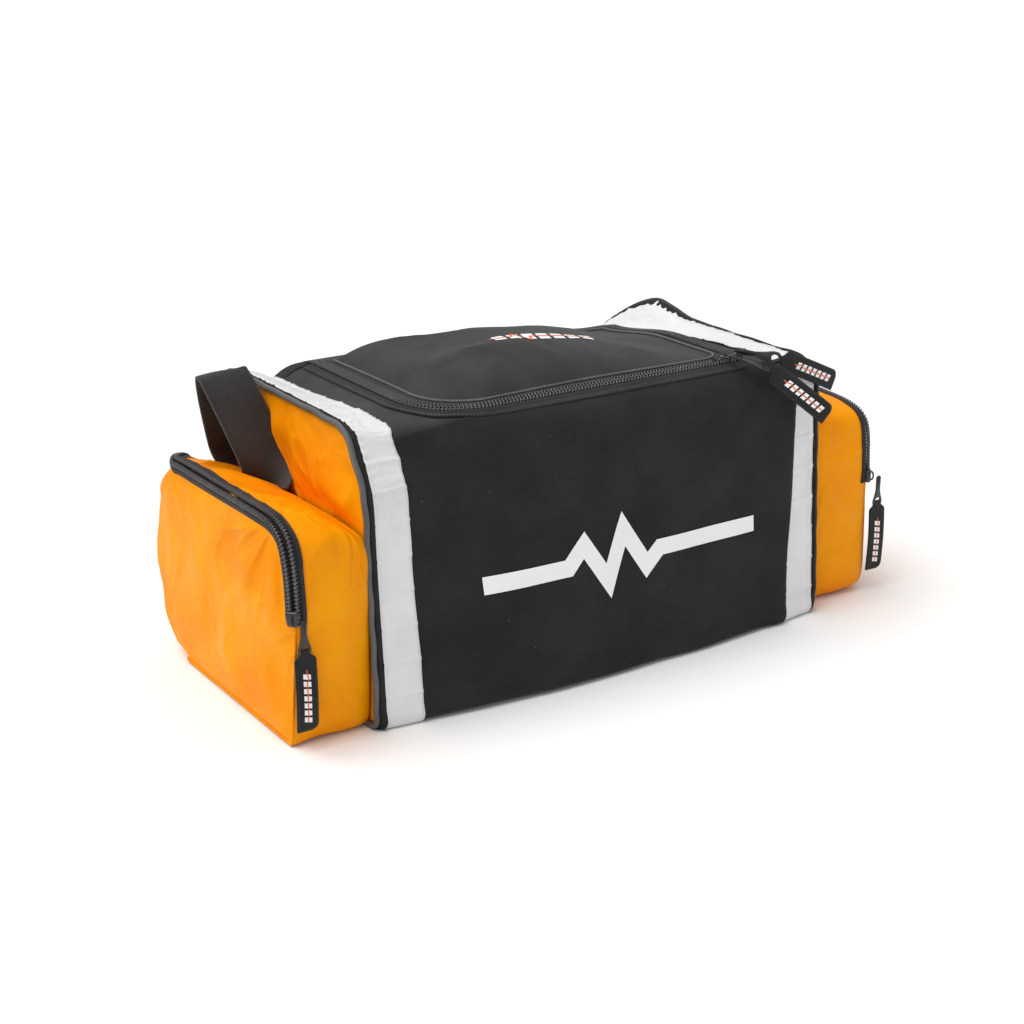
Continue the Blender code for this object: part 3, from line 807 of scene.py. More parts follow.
@dataclass
class Section:
    """Rounded cross-section of the main compartment, unrolled along its outline.

    A place on it is t, the distance along the outline. On the flat top t is the same as y.
    """

    front_y: float = -0.150
    front_top_y: float = -0.136
    back_y: float = 0.160
    top_z: float = 0.262
    bottom_radius: float = 0.016
    front_radius: float = 0.028
    back_radius: float = 0.055

    def __post_init__(self) -> None:
        """Samples the outline: four arcs joined by straight runs."""
        low, front, back = self.bottom_radius, self.front_radius, self.back_radius
        corners = (
            (self.front_y + low, low, low, 270, 180),
            (self.front_top_y + front, self.top_z - front, front, 180, 90),
            (self.back_y - back, self.top_z - back, back, 90, 0),
            (self.back_y - low, low, low, 360, 270),
        )
        points, normals = [], []
        for across, up, radius, start, end in corners:
            angle = np.radians(np.linspace(start, end, 25))
            turn = np.stack([np.cos(angle), np.sin(angle)], 1)
            points.append(np.array([across, up]) + radius * turn)
            normals.append(turn)
        points.append(points[0][:1])
        normals.append(normals[0][:1])
        self.outline = np.concatenate(points)
        self.normals = np.concatenate(normals)
        place = run_length(self.outline)
        top_start = place[49]
        self.place = place - top_start + self.front_top_y + front
        self.front_low = self.place[0]
        self.front_foot = self.place[24]
        self.back_side = self.place[74]
        self.back_low = self.place[99]

    def at(self, x: Array, t: Array, lift: Array | float = 0.0) -> Array:
        """Points on the unslumped body at x and t, raised outwards by lift.

        Args:
            x: Places along the bag.
            t: Places along the section's outline.
            lift: How far outwards they are raised.

        Returns:
            The points.
        """
        x, t, lift = np.broadcast_arrays(x, t, lift)
        y, z = (np.interp(t, self.place, self.outline[:, axis]) for axis in (0, 1))
        ny, nz = (np.interp(t, self.place, self.normals[:, axis]) for axis in (0, 1))
        return np.stack([x, y + ny * lift, z + nz * lift], -1)

    def skin(self, x: Array, t: Array, lift: Array | float = 0.0) -> Array:
        """The same points after the bag has slumped, none below the floor.

        Args:
            x: Places along the bag.
            t: Places along the section's outline.
            lift: How far outwards they are raised.

        Returns:
            The points.
        """
        points = slump(self.at(x, t, lift))
        points[..., 2] = np.maximum(points[..., 2], 0.0002)
        return points


def slump(points: Array) -> Array:
    """How the filled bag sags: smooth shifts of the body, the same for every piece sewn to it.

    The front is pushed out in the middle and pulled in at the left end, the top dips between
    the lid and each end and towards the right rear, and the rear top corners lean inwards.

    Args:
        points: Places on the body as cut, last axis x, y, z.

    Returns:
        Places on the body as it stands.
    """
    x, y, z = points[..., 0], points[..., 1], points[..., 2]
    knots = [-0.250, -0.206, -0.130, 0.0, 0.130, 0.206, 0.250]
    low = spline(x, knots, [0.006, 0.001, -0.011, -0.013, -0.010, -0.004, 0.001])
    middle = spline(x, knots, [0.006, 0.009, 0.001, -0.005, -0.006, -0.003, 0.001])
    high = spline(x, knots, [0.004, 0.009, 0.004, 0.000, 0.000, 0.000, 0.000])
    front = low + (middle - low) * ease(0.03, 0.15, z) + (high - middle) * ease(0.15, 0.245, z)
    front = (front - 0.006 * ease(0.020, 0.0, z)) * ease(-0.104, -0.136, y)
    soft = hump(0.0, 0.030, np.hypot(y + 0.132, z - 0.252)) * ease(-0.13, -0.19, x)
    on_top = ease(0.225, 0.260, z)
    rearward = ease(-0.09, 0.12, y)
    dip = hump(0.209, 0.015, np.abs(x)) * (0.002 + 0.009 * rearward)
    shoulder = -0.006 + 0.011 * ease(0.05, 0.125, y)
    rise = ease(0.225, 0.250, np.abs(x)) * np.where(x > 0, shoulder, 0.003)
    sag = 0.013 * ease(-0.01, 0.10, y) * ease(0.03, 0.165, x) * ease(0.244, 0.222, x)
    rear = ease(0.110, 0.158, y)
    corner = hump(0.213, 0.045, z) * rear * ease(0.150, 0.245, np.abs(x))
    lean = np.where(x > 0, 0.036, 0.018) * corner
    belly = 0.006 * hump(0.120, 0.070, z) * rear * hump(0.0, 0.2, x)
    return np.stack(
        [
            x - np.sign(x) * lean,
            y + front + belly + 0.011 * soft + np.where(x > 0, 0.013, 0.006) * corner,
            z + on_top * (rise - dip - sag) - 0.012 * soft,
        ],
        -1,
    )


SECTION = Section()


# ------------------------------------------------------------------ the main compartment


@dataclass
class Shell:
    """The black panels of the main compartment and its print."""

    palette: Palette
    seam_end: float = 0.2470
    front_rows: int = 120
    front_columns: int = 180

    def build(self) -> None:
        """Makes every panel of the main compartment."""
        self.front_panel()
        self.top_panel()
        self.back_panels()
        self.base()
        self.front_print()
        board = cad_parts["base_stiffener"]
        board.data.materials.clear()
        board.data.materials.append(self.palette["board"])
        LOG.info("base_stiffener keeps its own shape")

    def right_edge(self, t: Array) -> Array:
        """Where the front panel's rolled right edge lies, further in towards the bottom."""
        stations = [-0.39, -0.30, -0.22, -0.145, -0.112]
        return spline(t, stations, [0.2085, 0.2125, 0.2185, 0.2255, 0.2290])

    def front_lift(self, x: Array, t: Array) -> Array:
        """Height of the front panel over the seam line: soft dents, and a roll at its right edge.

        Args:
            x: Places along the bag.
            t: Places along the section's outline.

        Returns:
            The heights.
        """
        edge = self.right_edge(t)
        flat = np.stack(np.broadcast_arrays(x, t, 0.0 * x), -1)
        inner = ease(-0.206, -0.17, x) * ease(-0.112, -0.150, t)
        dents = 0.0011 * ripple(flat, 0.10, 4) * inner
        pull = 0.0014 * creased(flat * np.array([1.0, 1.6, 1.0]), 0.07, 9)
        pull = pull * hump(0.185, 0.05, x) * hump(-0.150, 0.045, t)
        gather = 0.0010 * creased(flat * np.array([1.0, 2.2, 1.0]), 0.05, 21)
        gather = gather * hump(-0.150, 0.06, x) * hump(-0.150, 0.04, t) * ease(-0.206, -0.190, x)
        roll = 0.0036 * ease(edge - 0.040, edge - 0.004, x) - 0.0030 * ease(edge - 0.004, edge, x)
        return dents + pull + gather + roll

    def front_panel(self) -> None:
        """The front: a net over x and t, its last columns close together for the rolled edge."""
        t = np.linspace(SECTION.front_low, -0.1180, self.front_rows)[:, None]
        share = np.linspace(0.0, 1.0, self.front_columns)[None, :] ** 0.85
        x = -self.seam_end + share * (self.right_edge(t) + self.seam_end)
        t = np.broadcast_to(t, x.shape)
        lift = self.front_lift(x, t)
        points = SECTION.skin(x, t, lift)
        item = net("front_panel_cloth", points, self.palette["twill"], np.stack([x, t], -1))
        thicken(item, 0.0020)
        self.palette.settle(item, "bag", "twill", "front_panel")

    def top_panel(self) -> None:
        """The flat top: a ring between the zip and the panel's edges, read by angle."""
        middle = np.array([0.003, -0.004])
        low, high = np.array([-self.seam_end, -0.1215]), np.array([self.seam_end, 0.1045])
        (left, front), (right, rear) = low, high
        corners = np.array([[left, front], [right, front], [right, rear], [left, rear]])
        turns = np.arctan2(corners[:, 1] - middle[1], corners[:, 0] - middle[0])
        evenly = np.linspace(-math.pi, math.pi, 360, endpoint=False)
        angle = np.sort(np.concatenate([evenly, turns]))
        way = np.stack([np.cos(angle), np.sin(angle)], 1)
        loop = zip_loop(0.0035)
        loop_angle = np.arctan2(loop[:, 1] - middle[1], loop[:, 0] - middle[0])
        order = np.argsort(loop_angle)
        reach = np.linalg.norm(loop - middle, axis=1)
        inner = np.interp(angle, loop_angle[order], reach[order], period=TAU)
        with np.errstate(divide="ignore"):
            to_high = np.where(way > 0, (high - middle) / way, np.inf)
            to_low = np.where(way < 0, (low - middle) / way, np.inf)
        outer = np.minimum(to_high, to_low).min(1)
        share = np.linspace(0.0, 1.0, 16)[:, None]
        radius = inner[None] + (np.maximum(outer, inner)[None] - inner[None]) * share
        x = middle[0] + radius * way[None, :, 0]
        t = middle[1] + radius * way[None, :, 1]
        flat = np.stack([x, t], -1)
        place = np.stack([x, t, 0 * x], -1)
        lift = -0.0006 + 0.0006 * ripple(place, 0.05, 3) * ease(0.0, 0.3, share)
        item = net("top_panel_cloth", SECTION.skin(x, t, lift), self.palette["top_lit_twill"], flat,
                   wrap=True, turn=True)
        thicken(item, 0.0020)
        self.palette.settle(item, "bag", "top_lit_twill", "top_panel")

    def back_panels(self) -> None:
        """The rounded yoke over the back, and the back panel below its seam."""
        side = SECTION.back_side
        spans = (("back_yoke_cloth", 0.1035, side + 0.004, 0.0008, ("back_yoke", "back_crest"), 6),
                 ("back_panel_cloth", side - 0.006, SECTION.back_low, 0.0, ("back_panel",), 7))
        x = np.linspace(-self.seam_end, self.seam_end, 120)[None, :]
        for name, start, end, lift, node, seed in spans:
            t = np.linspace(start, end, 60)[:, None]
            x2, t2 = np.broadcast_arrays(x, t)
            flat = np.stack([x2, t2], -1)
            dents = 0.0014 * ripple(np.stack([x2, t2, 0 * x2], -1), 0.09, seed)
            dents = dents * ease(0.040, 0.075, self.seam_end - np.abs(x2))
            dents = dents * ease(start, start + 0.02, t2)
            item = net(name, SECTION.skin(x2, t2, lift + dents), self.palette["twill"], flat)
            thicken(item, 0.0020)
            self.palette.settle(item, "bag", "twill", *node)
        seam = np.linspace(-self.seam_end, self.seam_end, 200)
        work = Sheetwork()
        for t in (side + 0.0015, side - 0.0010):
            path = SECTION.skin(seam, np.full_like(seam, t), 0.0010)
            stitches(work, path, np.broadcast_to([0.0, 1.0, 0.0], path.shape))
        item = work.finish("back_seam_stitches", self.palette["black_thread"])
        self.palette.settle(item, "bag", "black_thread")

    def base(self) -> None:
        """The base cloth: flat, with its corners turned up as the section is rounded."""
        x = np.linspace(-self.seam_end, self.seam_end, 80)[None, :]
        t = np.linspace(SECTION.place[99], SECTION.place[-1], 50)[:, None]
        x2, t2 = np.broadcast_arrays(x, t)
        points = SECTION.skin(x2, t2, 0.0)
        points[..., 2] = np.maximum(points[..., 2], 0.0)
        item = net("base_cloth", points, self.palette["twill"], np.stack([x2, t2], -1))
        thicken(item, 0.0018)
        self.palette.settle(item, "bag", "twill", "base_panel")

    def front_print(self) -> None:
        """A white printed trace on the front: one line with sharp beats, mitred at each bend."""

        def face(x: Array, z: Array, lift: float) -> Array:
            """Points on the front panel at x and height z."""
            t = SECTION.front_foot + (z - 0.016)
            return SECTION.skin(x, t, self.front_lift(x, t) + lift)

        trace = np.array([[-0.140, 0.112], [-0.052, 0.112], [-0.034, 0.130], [-0.010, 0.092],
                          [0.010, 0.137], [0.034, 0.098], [0.050, 0.112], [0.165, 0.112]])
        step = unit(np.diff(trace, axis=0))
        normal = np.stack([-step[:, 1], step[:, 0]], 1)
        mitre = unit(np.concatenate([normal[:1], normal[:-1] + normal[1:], normal[-1:]]))
        mitre[1:-1] /= (mitre[1:-1] * normal[1:]).sum(1, keepdims=True)
        work = Sheetwork()
        spot = np.linspace(0.0, len(trace) - 1.0, 24 * (len(trace) - 1) + 1)
        bends = np.arange(len(trace))
        middle, wide = (np.stack([np.interp(spot, bends, values[:, axis]) for axis in (0, 1)], 1)
                        for values in (trace, mitre))
        across = np.linspace(-0.0078, 0.0078, 9)[:, None, None]
        flat = middle[None] + wide[None] * across
        work.grid(face(flat[..., 0], flat[..., 1], 0.0006), flat)
        item = work.finish("front_print_ink", self.palette["white_print"])
        self.palette.settle(item, "bag", "white_print", "front_print")


# ------------------------------------------------------------------ trim at the ends


@dataclass
class EndTrim:
    """Reflective band, binding, piping and end panel of one end."""

    palette: Palette
    side: str
    sign: float
    band_near: float = 0.206
    band_far: float = 0.2412
    pipe_x: float = 0.2500
    pipe_radius: float = 0.0027
    binding_half: float = 0.0032
    # The grey cord by default: painted highlight for the lit left end.
    cord: str = "piping"
    rear_swell: float = 1.0
    rib_pitch: float = 0.031

    def build(self) -> None:
        """Makes the four pieces of the end and their stitches."""
        self.band()
        self.binding()
        self.piping()
        self.panel()

    def band_lift(self, x: Array, t: Array) -> Array:
        """Height of the band: cross ribs every 31 mm, and fine wrinkles over its top corners.

        Args:
            x: Places along the bag.
            t: Places along the section's outline.

        Returns:
            The heights.
        """
        flat = np.stack(np.broadcast_arrays(x, t, 0.0 * x), -1)
        phase = np.abs((t / self.rib_pitch) % 1.0 - 0.5)
        ribs = 0.0010 * hump(0.0, 0.050, phase)
        over_top = 0.35 * ease(-0.12, -0.08, t) * ease(0.13, 0.10, t)
        corner = hump(-0.120, 0.050, t) + hump(0.140, 0.06, t) + over_top
        along = flat * np.array([1.0, 2.4, 1.0])
        folds = 0.0010 * creased(along, 0.040, 31 + int(self.sign)) * corner
        pucker = 0.0006 * np.sin(TAU * t / 0.009) * hump(self.band_far, 0.006, np.abs(x)) * corner
        return 0.0015 + ribs + folds + pucker + 0.0004 * ripple(flat, 0.03, 14)

    def band(self) -> None:
        """The reflective band: a net from the front foot over the top to the back foot."""
        t = np.linspace(SECTION.front_low + 0.004, SECTION.back_low - 0.004, 620)[:, None]
        share = np.linspace(0.0, 1.0, 16)[None, :]
        wave = 0.0012 * np.sin(TAU * t / 0.043) * hump(-0.09, 0.08, t)
        near = self.band_near + wave
        x = self.sign * (near + (self.band_far - near) * share)
        t = np.broadcast_to(t, x.shape)
        points = SECTION.skin(x, t, self.band_lift(x, t))
        item = net("reflective_band_cloth_" + self.side, points, self.palette["reflective"],
                   np.stack([x, t], -1), turn=self.sign < 0)
        thicken(item, 0.0006)
        self.palette.settle(item, "bag", "reflective", "reflective_band_" + self.side)
        work = Sheetwork()
        row = np.linspace(SECTION.front_low + 0.006, SECTION.back_low - 0.006, 600)
        for inset in (0.0022, 0.0325):
            x = np.full_like(row, self.sign * (self.band_near + inset))
            lift = self.band_lift(x, row)
            path = SECTION.skin(x, row, lift + 0.0001)
            stitches(work, path, SECTION.skin(x, row, lift + 0.001) - path)
        item = work.finish("band_stitches_" + self.side, self.palette["white_thread"])
        self.palette.settle(item, "bag", "white_thread")

    def binding(self) -> None:
        """The folded binding beside the piping: half a flattened cylinder with puckers."""
        t = np.linspace(SECTION.front_low + 0.003, SECTION.back_low - 0.003, 500)[:, None]
        angle = np.linspace(0.0, math.pi, 9)[None, :]
        swell = 1.0 + (self.rear_swell - 1.0) * ease(0.0, 0.11, t)
        inward = self.binding_half * (1.0 + np.cos(angle)) * swell
        x = self.sign * (self.pipe_x - self.pipe_radius - inward)
        t = np.broadcast_to(t, x.shape)
        pucker = 1.0 + 0.10 * np.sin(TAU * t / 0.007 + 3.0 * np.sin(TAU * t / 0.05))
        lift = 0.0004 + 0.55 * self.binding_half * swell * np.sin(angle) * pucker
        item = net("binding_roll_" + self.side, SECTION.skin(x, t, lift), self.palette["binding"],
                   np.stack([x, t], -1), turn=self.sign < 0)
        self.palette.settle(item, "bag", "binding", "binding_" + self.side)

    def piping(self) -> None:
        """The covered cord round the end: a tube whose middle follows the whole section."""
        t = np.linspace(SECTION.place[0], SECTION.place[-1], 900, endpoint=False)
        plain = SECTION.at(np.full_like(t, self.sign * self.pipe_x), t, 0.0)
        lift = -0.0026 + 0.0036 * ease(0.004, 0.030, plain[:, 2])
        wave = 0.0007 * np.sin(TAU * t / 0.055) * hump(-0.10, 0.09, t)
        x = self.sign * (self.pipe_x + 0.0004 * np.sin(TAU * t / 0.037))
        path = SECTION.skin(x, t, lift + wave)
        path[:, 2] = np.maximum(path[:, 2], self.pipe_radius)
        work = Sheetwork()
        radius = self.pipe_radius * (1.0 + 0.5 * (self.rear_swell - 1.0) * ease(0.0, 0.11, t))
        tube(work, path, radius, sides=12, closed=True, up=np.array([self.sign, 0.0, 0.0]))
        item = work.finish("piping_cord_" + self.side, self.palette[self.cord])
        self.palette.settle(item, "bag", self.cord, "piping_" + self.side)

    def panel(self) -> None:
        """The orange end panel: rings from its seam to its middle, soft above the pocket."""
        t = np.linspace(SECTION.place[0], SECTION.place[-1], 300, endpoint=False)
        edge = SECTION.at(np.zeros_like(t), t, -0.0030)
        middle = np.array([0.0, 0.010, 0.120])
        share = np.linspace(0.0, 1.0, 60)[:, None, None] ** 0.8
        points = edge[None] + (middle - edge[None]) * share
        y, z = points[..., 1], points[..., 2]
        above = ease(0.176, 0.205, z)
        inner = ease(0.0, 0.25, share[..., 0])
        folds = creased(points * np.array([1.0, 1.0, 0.45]), 0.060, 40)
        soft = 0.0028 + 0.0024 * ripple(points, 0.07, 43) + 0.0030 * folds
        points[..., 0] = self.sign * (0.2482 + inner * above * soft)
        flat = np.stack([y, z], -1)
        points = slump(points)
        item = net("end_panel_cloth_" + self.side, points, self.palette["nylon"], flat, wrap=True,
                   turn=self.sign > 0)
        thicken(item, 0.0009)
        self.palette.settle(item, "bag", "nylon", "end_panel_" + self.side)


# ------------------------------------------------------------------ zips


def zip_base(right_radius: float, count: int = 720) -> tuple[Array, Array]:
    """The lid zip's middle line, left rear to right rear, with its outward directions.

    Args:
        right_radius: Radius of the front right corner; the left one's is 60 mm.
        count: How many points.

    Returns:
        Points in x and y, and outward unit vectors.
    """
    left, right, front, rear, corner = -0.170, 0.176, -0.108, 0.100, 0.060
    round_left = np.radians(np.linspace(180.0, 270.0, 40))
    round_right = np.radians(np.linspace(270.0, 360.0, 24))

    def arc(middle: tuple[float, float], radius: float, angle: Array) -> Array:
        """Points of an arc."""
        return np.array(middle) + radius * np.stack([np.cos(angle), np.sin(angle)], 1)

    path = np.concatenate([
        [[left, rear]],
        arc((left + corner, front + corner), corner, round_left),
        arc((right - right_radius, front + right_radius), right_radius, round_right),
        [[right, rear]],
    ])
    path = resample(path, count)
    along = unit(np.gradient(path, axis=0))
    return path, np.stack([along[:, 1], -along[:, 0]], 1)


def zip_loop(offset: float) -> Array:
    """The zip's line moved outwards and closed across the rear, for the top panel's opening.

    Args:
        offset: How far outwards the line moves.

    Returns:
        The loop's points in x and y.
    """
    path, out = zip_base(0.012)
    path = path + out * offset
    rear = path[0, 1] + offset
    across = np.linspace(path[-1, 0], path[0, 0], 120)
    return np.concatenate([path, np.stack([across, np.full_like(across, rear)], 1)])


def strip(path: Array, out: Array, offsets: Array, lifts: Array) -> Array:
    """A ribbon beside a line on the top: rows across it, columns along it.

    Args:
        path: The line in x and y.
        out: Its outward directions.
        offsets: How far out each row lies.
        lifts: How high each row stands.

    Returns:
        The net of points on the slumped body.
    """
    place = path[None] + out[None] * offsets[:, None, None]
    return SECTION.skin(place[..., 0], place[..., 1], lifts[:, None])


def coil_path(line: Array, across: Array, above: Array, pitch: float, width: float,
              height: float, per_turn: int = 9) -> Array:
    """A flattened spring along a line: the line plus a turning vector across and above it.

    Args:
        line: Middle of the coil.
        across: Unit vectors across it.
        above: Unit vectors above it.
        pitch: Length of one turn.
        width: Half its width.
        height: Half its height.
        per_turn: Points in each turn.

    Returns:
        The wire's path.
    """
    place = run_length(line)
    at = np.linspace(0.0, place[-1], int(place[-1] / pitch * per_turn))

    def read(values: Array) -> Array:
        """Values at places along the line."""
        return np.stack([np.interp(at, place, values[:, axis]) for axis in range(3)], 1)

    turn = TAU * at[:, None] / pitch
    return read(line) + read(across) * width * np.cos(turn) + read(above) * height * np.sin(turn)


@dataclass
class LidZip:
    """The tapes and coils of the long zip round the lid."""

    palette: Palette
    pitch: float = 0.0035
    wire: float = 0.00062
    coil_middle: float = 0.0030
    coil_half: float = 0.0026
    coil_rise: float = 0.0024

    def build(self) -> None:
        """Makes the body's half and the lid's half."""
        self.outer_tape()
        self.outer_coil()
        self.inner_tape()
        self.inner_coils()

    def outer_tape(self) -> None:
        """The body's tape: a ribbon with a fold beside the coil and a turned outer edge."""
        path, out = zip_base(0.012)
        offsets = np.array([0.0006, 0.0040, 0.0056, 0.0066, 0.0080, 0.0095, 0.0125, 0.0146, 0.0153])
        lifts = np.array([0.0006, 0.0007, 0.0012, 0.0026, 0.0024, 0.0012, 0.0012, 0.0013, 0.0004])
        points = strip(path, out, offsets, lifts)
        flat = np.stack(np.broadcast_arrays(run_length(path)[None], offsets[:, None]), -1)
        item = net("lid_zip_tape_body", points, self.palette["zip_tape"], flat, turn=True)
        thicken(item, 0.0005)
        self.palette.settle(item, "bag", "zip_tape", "lid_zip_tape_outer")
        work = Sheetwork()
        for offset, lift in ((0.0110, 0.0012), (0.0137, 0.0013)):
            line = strip(path, out, np.array([offset]), np.array([lift]))[0]
            stitches(work, line, np.broadcast_to([0.0, 0.0, 1.0], line.shape), width=0.0003)
        item = work.finish("lid_zip_stitches_body", self.palette["zip_coil"])
        self.palette.settle(item, "bag", "zip_coil")

    def coil(self, work: Sheetwork, path: Array, out: Array, offset: float) -> None:
        """Adds one half of the coil along part of the line.

        Args:
            work: The mesh being put together.
            path: Points of the zip's line in x and y.
            out: Outward directions at those points.
            offset: How far outside the line the coil runs.
        """
        line = strip(path, out, np.array([offset]), np.array([0.0026]))[0]
        side = np.concatenate([out, np.zeros((len(out), 1))], 1)
        above = np.broadcast_to([0.0, 0.0, 1.0], line.shape)
        wire = coil_path(line, side, above, self.pitch, self.coil_half, self.coil_rise)
        tube(work, wire, self.wire, sides=5)
        core = strip(path, out, np.array([offset]), np.array([0.0024]))[0]
        tube(work, core, 0.0009, sides=6)

    def outer_coil(self) -> None:
        """The body's half of the coil."""
        path, out = zip_base(0.012)
        work = Sheetwork()
        self.coil(work, path, out, self.coil_middle)
        item = work.finish("lid_zip_coil_body", self.palette["zip_coil"])
        self.palette.settle(item, "bag", "zip_coil", "lid_zip_coil_outer")

    def inner_tape(self) -> None:
        """The lid's tape, with a rounder corner where the sliders park."""
        path, out = zip_base(0.024)
        offsets = -np.array([0.0006, 0.0040, 0.0056, 0.0066, 0.0080, 0.0100, 0.0126, 0.0131])
        lifts = np.array([0.0006, 0.0007, 0.0012, 0.0024, 0.0022, 0.0012, 0.0013, 0.0006])
        points = strip(path, out, offsets, lifts)
        flat = np.stack(np.broadcast_arrays(run_length(path)[None], offsets[:, None]), -1)
        item = net("lid_zip_tape_lid", points, self.palette["zip_tape"], flat)
        thicken(item, 0.0005)
        self.palette.settle(item, "lid", "zip_tape", "lid_zip_tape_inner")

    def inner_coils(self) -> None:
        """The lid's half of the coil, in two runs that stop at the parked sliders."""
        path, out = zip_base(0.012)
        front = (path[:, 0] < 0.1425) | (path[:, 1] > 0.05) & (path[:, 0] < 0.0)
        side = (path[:, 0] > 0.17) & (path[:, 1] > -0.094)
        for name, part, node in (("lid_zip_coil_lid_front", front, "lid_zip_coil_front"),
                                 ("lid_zip_coil_lid_side", side, "lid_zip_coil_side")):
            work = Sheetwork()
            self.coil(work, path[part], out[part], -self.coil_middle)
            item = work.finish(name, self.palette["zip_coil"])
            self.palette.settle(item, "lid", "zip_coil", node)


# ------------------------------------------------------------------ lid


@dataclass
class Lid:
    """The domed lid: a flat border inside the zip, a piped seam and the raised crown."""

    palette: Palette
    middle: tuple[float, float] = (0.003, -0.004)
    inset: float = 0.0125
    border_lift: float = 0.0020
    rows: int = 70

    def build(self) -> None:
        """Makes the lid's cloth, piping, print and rear fold."""
        self.cloth()
        self.piping()
        self.prints()
        self.rear_fold()

    def edge(self) -> Array:
        """The lid's outline in x and y: inside the zip, closed straight across at the rear.

        Returns:
            The outline's points in x and y.
        """
        path, out = zip_base(0.024, 420)
        path = path - out * 0.0044
        across = np.linspace(path[-1, 0], path[0, 0], 122)[1:-1]
        return np.concatenate([path, np.stack([across, np.full_like(across, path[0, 1])], 1)])

    def height(self, x: Array, y: Array, inward: Array) -> Array:
        """Height of the lid's outer face over the top panel.

        From the lid's edge to the seam it is a shallow border. Inside the seam it is a crown
        whose peak falls from left to right, times one minus a power of the share of the way out
        to the seam, with a ridge across its left half and soft dents.

        Args:
            x: Place across.
            y: Place from front to back.
            inward: 0 in the middle, 1 at the seam and 2 at the lid's edge.

        Returns:
            The heights.
        """
        out = np.clip(inward, 0.0, 1.0)
        crown = spline(x, [-0.17, -0.13, -0.05, 0.02, 0.08, 0.13, 0.17],
                       [0.026, 0.031, 0.031, 0.025, 0.0140, 0.006, 0.002])
        dome = crown * (1.0 - out ** (2.7 + 1.6 * ease(-0.08, -0.15, x)))
        place = np.stack(np.broadcast_arrays(x, y, 0.0 * x), -1)
        ridge = 0.0040 * hump(-0.030, 0.014, y + 0.10 * (x + 0.10))
        ridge = ridge * ease(-0.14, -0.11, x) * ease(0.00, -0.06, x)
        dents = 0.0009 * ripple(place, 0.085, 52) + 0.0007 * creased(place, 0.06, 55)
        border = self.border_lift * ease(2.0, 1.5, inward)
        return 0.0010 + border + dome + (ridge + dents) * ease(1.0, 0.55, out)

    def surface(self, inward: Array, edge: Array, lift: float = 0.0) -> Array:
        """Points of the lid: the way from the middle to the seam, and on to each edge point.

        Args:
            inward: 0 in the middle, 1 at the seam and 2 at the edge.
            edge: The outline's points.
            lift: How far the points are raised.

        Returns:
            Points, a row for each place inward.
        """
        middle = np.array(self.middle)
        seam = 1.0 - self.inset / np.linalg.norm(edge - middle, axis=1)
        inward = inward[:, None] + 0.0 * seam[None]
        share = seam * np.minimum(inward, 1.0) + (1.0 - seam) * np.maximum(inward - 1.0, 0.0)
        plan = middle + (edge[None] - middle) * share[..., None]
        x, y = plan[..., 0], plan[..., 1]
        z = SECTION.top_z + self.height(x, y, inward) + lift
        return slump(np.stack([x, y, z], -1))

    def cloth(self) -> None:
        """The lid's cloth: rings from its edge to its middle."""
        inward = np.concatenate([np.linspace(2.0, 1.05, 8), np.linspace(1.0, 0.0, self.rows)])
        points = self.surface(inward, self.edge())
        item = net("lid_cloth", points, self.palette["top_lit_twill"], points[..., :2].copy(),
                   wrap=True)
        thicken(item, 0.0020)
        self.palette.settle(item, "lid", "top_lit_twill", "lid_panel")

    def piping(self) -> None:
        """The thin cord along the seam, with a row of stitches outside it."""
        edge = self.edge()
        work = Sheetwork()
        path = self.surface(np.array([1.02]), edge, 0.0010)[0]
        tube(work, path, 0.0015, sides=8, closed=True)
        # The lid seam wears the grey cord: painted highlight on a top face.
        item = work.finish("lid_piping_cord", self.palette["piping"])
        self.palette.settle(item, "lid", "piping", "lid_piping")
        work = Sheetwork()
        path = self.surface(np.array([1.35]), edge, 0.0002)[0]
        stitches(work, path, np.broadcast_to([0.0, 0.0, 1.0], path.shape))
        item = work.finish("lid_border_stitches", self.palette["black_thread"])
        self.palette.settle(item, "lid", "black_thread")

    def on_crown(self, x: Array, y: Array, lift: float) -> Array:
        """Points on the crown's outer face at x and y.

        Args:
            x: Places along the bag.
            y: Places across the bag.
            lift: How far the points are raised.

        Returns:
            The points.
        """
        edge, middle = self.edge(), np.array(self.middle)
        turn = np.arctan2(edge[:, 1] - middle[1], edge[:, 0] - middle[0])
        order = np.argsort(turn)
        reach = np.linalg.norm(edge - middle, axis=1)
        here = np.arctan2(y - middle[1], x - middle[0])
        seam = np.interp(here, turn[order], reach[order], period=TAU) - self.inset
        inward = np.hypot(x - middle[0], y - middle[1]) / seam
        z = SECTION.top_z + self.height(x, y, inward) + lift
        return slump(np.stack([x, y, z], -1))

    def prints(self) -> None:
        """A row of slanted white bars with an orange trace drawn across them."""
        white, orange = Sheetwork(), Sheetwork()
        for bar in range(7):
            start = -0.052 + bar * 0.0165
            u = np.linspace(0.0, 0.0125, 8)[None, :]
            v = np.linspace(-0.031, -0.014, 10)[:, None]
            x, y = start + u + 0.25 * (v + 0.031), v + 0.0 * u
            white.grid(self.on_crown(x, y, 0.0006), np.stack([x, y], -1))
        trace = np.array([[-0.056, -0.0225], [-0.030, -0.0225], [-0.024, -0.0120],
                          [-0.016, -0.0350], [-0.009, -0.0225], [0.066, -0.0225]])
        for number, step in enumerate(np.diff(trace, axis=0)):
            along = step / np.linalg.norm(step)
            across = np.array([-along[1], along[0]]) * 0.0011
            run = np.linspace(0.0, np.linalg.norm(step), 16)[None, :, None]
            flat = trace[number] + along * run + across * np.array([-1.0, 0.0, 1.0])[:, None, None]
            orange.grid(self.on_crown(flat[..., 0], flat[..., 1], 0.0009), flat)
        item = white.finish("lid_print_bars", self.palette["white_print"])
        self.palette.settle(item, "lid", "white_print", "lid_print")
        item = orange.finish("lid_print_trace", self.palette["orange_print"])
        self.palette.settle(item, "lid", "orange_print")

